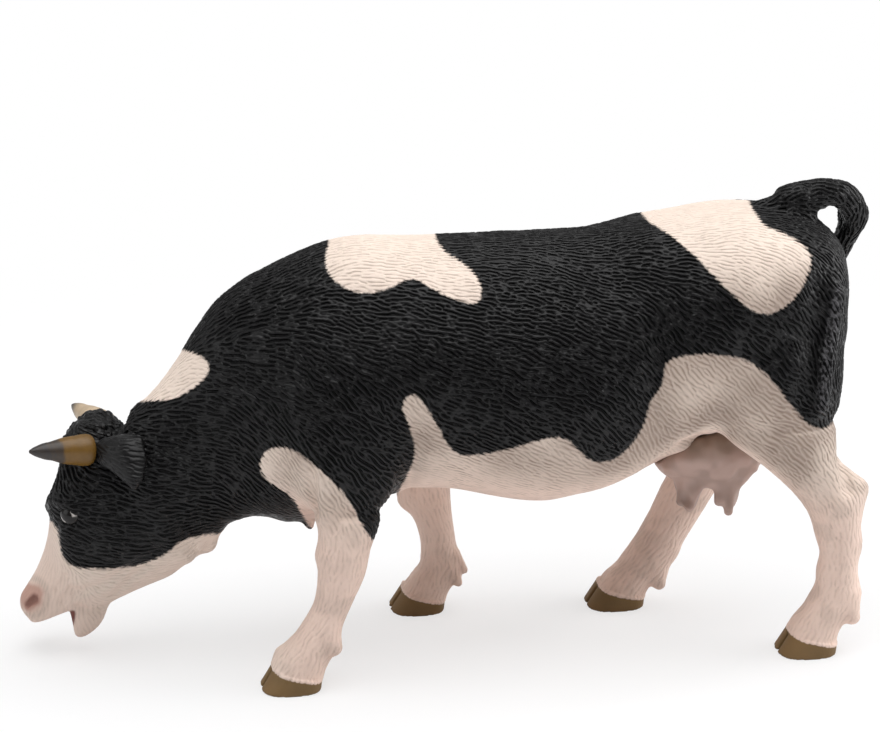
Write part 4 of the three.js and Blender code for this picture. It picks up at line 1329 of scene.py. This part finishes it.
def make_skin():
    """Sculpts, combs and paints the skin, parts it into its pieces, and returns where the eyes sit."""
    skin, grids = joined_skin()
    sculpt_body(skin)
    eyes, nostrils = sculpt_head(skin)
    add_ears(skin, grids)
    hooves = hoof_places()
    sculpt_hooves(skin, hooves)
    points, quads = skin.mesh()
    normals = vertex_normals(points, quads)
    labels = nearest_moulding(points, grids)
    is_node = {name: labels == index for index, name in enumerate(grids)}
    ears = is_node["ear_left"] | is_node["ear_right"]
    on_head = is_node["head"] | ears
    along, _, above_pivot = to_head(points).T

    # Areas of the coat, and its strokes
    x, _, z = points.T
    lower = {leg: is_node[leg] * smoothstep(*LOWER_LEG, z) for leg in LEGS}
    flow = coat_flow(points, normals, lower)
    depth = white_depth(points, normals, on_head)
    depth[is_node["tail"] | ears] = -PAINT_RANGE
    white = smoothstep(-0.3, 0.3, depth)
    legs = ~on_head * smoothstep(*LEG_PAINT, z) * smoothstep(*LEG_PAINT_FRONT, x)
    calm = np.maximum(white, smoothstep(*NECK, x)) - 1.5 * legs
    wave = stroke_waves(points, normals, flow, white * (1 - legs), calm)
    clear = np.abs(wave)
    stroke = 0.5 * STROKE_HEIGHT * wave.real / np.maximum(clear, 0.35)
    ridge = stroke + CLUMP_HEIGHT * noise(points, CLUMP, 3)
    above = np.full(len(points), 20.0)
    for leg, (toe, heel, _, _) in hooves.items():
        above[is_node[leg]] = (z - coronet(x, toe, heel))[is_node[leg]]
    hoof = smoothstep(0.15, -0.15, above)
    muzzle = on_head * smoothstep(*MUZZLE, along + MUZZLE_LEAN * (above_pivot - MUZZLE_LEVEL))
    underside = smoothstep(*UNDERSIDE_TURN, normals[:, 2]) * (z < UNDERSIDE_TOP)
    coat = (1 - 0.75 * ears) * (1 - 0.25 * legs) * (1 - 0.8 * muzzle) * (1 - 0.6 * underside) * (1 - hoof)

    # Relief
    poll = is_node["head"] * smoothstep(*CURLS_ABOVE, above_pivot) * smoothstep(*CURLS_ALONG, along)
    curl = np.abs(noise(points, 1.2, 1)) + 0.7 * np.abs(noise(points, 0.7, 2))
    rise = coat * ridge * (1 - poll) * (1 - 0.65 * white) + 0.5 * poll * (curl - 0.35)
    rise += FRINGE * smoothstep(0.0, 0.25, above) * smoothstep(5.0, 0.5, above)
    points = points + normals * rise[:, None]
    points[:, 2] = np.maximum(points[:, 2], 0)

    # Paint
    x, _, z = points.T
    place = pixels(points)
    blotch = smoothstep(0.0, 0.6, noise(points, 3.6, 2) + 0.5 * noise(points, 1.6, 1))
    pink = np.clip(0.75 * legs + 0.5 * muzzle + 0.35 * underside, 0, 1)
    # Wear and a painted highlight on the black along the thigh's rear edge
    worn_highlight = smoothstep(-5, 2, outline_depth(pixels(near_side(points)), WORN_HIGHLIGHT_EDGE, 10))
    nostril = np.hypot(*((place - NOSE_PIXEL) / NOSE_SIZE).T)
    nose = 0.75 * on_head * smoothstep(1.2, 0.65, nostril + 0.15 * noise(points, 1.2, 2))
    hole = np.min([round_bar(*ends, *NOSTRIL_SIZE)(*points.T) for ends in nostrils], axis=0)
    mouth = smoothstep(-1, 1, outline_depth(place, MOUTH_PATCH, 10))
    dark = on_head * np.maximum(smoothstep(0.75, -0.15, hole) * 0.5, mouth)
    # Painted shade: the cream darkens on the trunk's lower sides where they face sideways, and on the head;
    # the same channel also darkens the legs in random blotches and a ring around the nose
    trunk = ~on_head * smoothstep(*SHADE_TOP, z) * (1 - legs) * smoothstep(*SHADE_FRONT, x)
    shade = trunk * smoothstep(*SHADE_UPPER, normals[:, 2]) * smoothstep(*SHADE_LOWER, normals[:, 2])
    shade *= np.clip(0.9 + 0.6 * noise(points, 6.0, 0), 0.4, 1.2)
    shade = shade + 0.3 * legs * blotch + 0.25 * on_head
    shade += 0.4 * on_head * smoothstep(1.7, 1.3, nostril) * smoothstep(0.9, 1.2, nostril)
    wash = 0.12 + 0.06 * legs + 0.45 * trunk * np.clip(0.7 + 0.5 * noise(points, 6.0, 3), 0, 1)
    # One channel: pink in and near the white, and in the black the wear and painted highlight of the thigh's
    # edge
    pink_and_highlight = np.where(depth > -0.4, pink, worn_highlight)
    layers = {
        "coat": channels(paint_share(depth), pink_and_highlight, paint_share(above), wash),
        "detail": channels(nose, dark, coat, shade),
        "comb": np.stack([wave.real, wave.imag, clear], axis=1),
    }
    normals = vertex_normals(points, quads)
    split_skin(points, quads, labels, list(grids), normals, layers, coat_material())
    return eyes


def make_udder():
    """A lumpy udder with four teats, with painted shadow in the fold under the belly and painted shade in
    the hollows between its lumps.
    """
    grid = mesh_grid(*node_mesh("udder"), FINE, UDDER_BLUR)
    height = grid.low[2] + FINE * np.arange(grid.values.shape[2])
    grid.values -= TEAT_SLIM + (UDDER_FULL - TEAT_SLIM) * smoothstep(*TEAT_TOP, height).astype(np.float32)
    grid.shape([UDDER_CROWN], grid.seen)
    for root, tip in TEATS:
        start = grid.seen(root) - TEAT_RADIUS[0] * BACK
        grid.capsule(start, shifted(start, np.subtract(tip, root)), *TEAT_RADIUS, TEAT_FILLET)
    grid.shape([TEAT_GAP], grid.seen)
    points, quads = grid.mesh()
    normals = vertex_normals(points, quads)
    lump = noise(points, 3.2, 1) + 0.5 * noise(points, 1.5, 2)
    points = points + normals * (UDDER_LUMPS * lump * smoothstep(*LUMPS_ABOVE, points[:, 2]))[:, None]
    # Painted shadow near the top, in the fold under the belly
    shade = smoothstep(*UDDER_FOLD, points[:, 2] + noise(points, 2.5, 3))
    # Painted shade where the lumps sink the skin
    layers = {"coat": channels(shade, smoothstep(0.1, -0.5, lump))}
    install(make_object("udder_painted", points, quads, udder_material(), layers), "udder")


def make_horn(node, side, colour, shift, tip):
    """A tapered horn from the side of the poll, forward and outward to its point."""
    steps, sectors = HORN_LATTICE
    share = np.linspace(0, 1, steps)
    reach = HORN_START + (1 - HORN_START) * share
    path = (HORN_BASE + shift) * [1, side, 1] + np.outer(reach, HORN_REACH) * [1, side, 1]
    tangent = unit(np.gradient(path, axis=0))
    sideways = unit(np.cross(tangent, [0, 0, 1]))
    upright = np.cross(sideways, tangent)
    radius = 0.5 * HORN_WIDTH * np.interp(reach, *HORN_TAPER) * np.interp(share, *HORN_ROOT)
    angle = 2 * math.pi * np.arange(sectors) / sectors
    ring = np.cos(angle)[None, :, None] * sideways[:, None] + np.sin(angle)[None, :, None] * upright[:, None]
    points = from_head((path[:, None] + radius[:, None, None] * ring).reshape(-1, 3))
    wave = noise(np.repeat(reach, sectors)[:, None] * [-HORN_REACH[0], 0, 0], 0.7, 2)
    rise = 0.05 * wave + 0.04 * noise(points, 0.9, 1)
    points += rise[:, None] * (ring @ HEAD_AXES.T).reshape(-1, 3)
    ends = from_head([path[0], path[-1] + 0.1 * tangent[-1]])
    first = np.arange(sectors)
    after = (first + 1) % sectors
    hub = np.full(sectors, len(points))
    last = (steps - 1) * sectors
    root_cap = np.stack([after, first, hub], axis=1)
    tip_cap = np.stack([last + first, last + after, hub + 1], axis=1)
    points = np.concatenate([points, ends])
    spot = np.concatenate([np.repeat(reach, sectors), [HORN_START, 1.0]]) + 0.03 * noise(points, 1.2, 3)
    spot[:-2] -= 0.05 * np.tile(np.sin(angle), steps)
    lines = 0.25 * smoothstep(0.2, 0.8, np.abs(noise(spot[:, None] * [9, 0, 0], 0.5, 1)))
    layers = {"coat": channels(smoothstep(*tip, spot), lines)}
    material = horn_material(node + "_paint", colour)
    quads = ring_quads(steps, sectors)
    caps = np.concatenate([root_cap, tip_cap])
    install(make_object(node + "_painted", points, quads, material, layers, caps), node)


def make_eye(name, place, side):
    """A glossy ball set in its socket, with the pale corner behind the pupil."""
    outward = unit(HEAD_AXES @ np.array([-0.35, side, 0.05]))
    along = HEAD_AXES @ np.array([1.0, 0, -0.1])
    along = unit(along - (along @ outward) * outward)
    rise = np.cross(along, outward) * side
    rings, sectors = EYE_LATTICE
    polar = np.linspace(0, math.pi, rings)[:, None]
    angle = 2 * math.pi * np.arange(sectors) / sectors
    parts = np.broadcast_arrays(np.sin(polar) * np.cos(angle), np.sin(polar) * np.sin(angle), np.cos(polar))
    x, y, z = (part.ravel() for part in parts)
    body = np.outer(x * EYE_SIZE[0], along) + np.outer(y * EYE_SIZE[2], rise)
    body += np.outer(z * EYE_SIZE[1], outward)
    turn = np.degrees(np.arctan2(y, x))
    spread = np.hypot(x, y)
    wedge = smoothstep(26, 20, np.abs(turn - 34)) * smoothstep(0.62, 0.7, spread)
    line = smoothstep(34, 28, np.abs(turn + 128)) * smoothstep(0.52, 0.56, spread)
    line *= smoothstep(0.68, 0.64, spread)
    layers = {"coat": channels(np.maximum(wedge, line) * (z > 0))}
    quads = ring_quads(rings, sectors)[:, [0, 3, 2, 1]]
    piece = make_object(name, place - EYE_SUNK * outward + body, quads, eye_material(), layers)
    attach(piece, "root")


# Studio
def make_studio():
    """A white room that is brighter above and behind, with a floor and three lamps."""
    scene = bpy.context.scene
    scene.view_settings.view_transform = "Standard"
    scene.world = bpy.data.worlds.new("studio")
    s = Shader(scene.world)
    facing = s.node("VectorMath", {0: s.node("TexCoord").outputs["Generated"]}, operation="DOT_PRODUCT")
    facing.inputs[1].default_value = BRIGHT_SIDE
    glow = s.number(facing.outputs["Value"], WORLD_DIM, WORLD_BRIGHT, WORLD_TURN)
    background = s.found("BACKGROUND")
    s.feed(background.inputs["Strength"], s.number(s.node("LightPath").outputs["Is Camera Ray"], glow, 1.0))
    s.feed(background.inputs["Color"], (1, 1, 1))

    mesh = bpy.data.meshes.new("floor")
    corners = [(x * FLOOR_HALF, y * FLOOR_HALF, 0) for x, y in ((-1, -1), (1, -1), (1, 1), (-1, 1))]
    mesh.from_pydata(corners, [], [(0, 1, 2, 3)])
    floor = bpy.data.objects.new("floor", mesh)
    scene.collection.objects.link(floor)
    mesh.materials.append(floor_material())

    for name, place, size, power in LAMPS:
        light = bpy.data.lights.new(name, "AREA")
        light.size = size
        light.energy = power
        lamp = bpy.data.objects.new(name, light)
        lamp.location = place
        lamp.rotation_euler = (Vector(LAMP_TARGET) - Vector(place)).to_track_quat("-Z", "Y").to_euler()
        scene.collection.objects.link(lamp)


def floor_material():
    """A pale floor that takes the shadow, and that the camera sees whiter with the distance."""
    s = paint("pale_floor")
    position = s.node("NewGeometry").outputs["Position"]
    distance = s.node("VectorMath", {0: position}, operation="LENGTH").outputs["Value"]
    fade = s.number(distance, FLOOR_NEAR, FLOOR_FAR, *FLOOR_FADE, interpolation_type="SMOOTHSTEP")
    share = s.times(s.node("LightPath").outputs["Is Camera Ray"], fade)
    plain = s.found("BSDF_PRINCIPLED").outputs[0]
    mix = s.node("MixShader", {0: share, 1: plain, 2: s.node("Emission").outputs[0]})
    s.feed(s.found("OUTPUT_MATERIAL").inputs[0], mix.outputs[0])
    return s.finish(FLOOR, 0.9, 0.1)


make_camera()
eye_places = make_skin()
for eye_name, eye_place, eye_side in zip(("eye_left", "eye_right"), eye_places, (-1, 1)):
    make_eye(eye_name, eye_place, eye_side)
make_udder()
make_horn("horn_left", -1, HORN_OCHRE, (0, 0, 0), HORN_DARK)
# The far horn in the paler ochre, as painted light
make_horn("horn_right", 1, HORN_OCHRE_LIT, FAR_HORN_SHIFT, FAR_HORN_DARK)
make_studio()
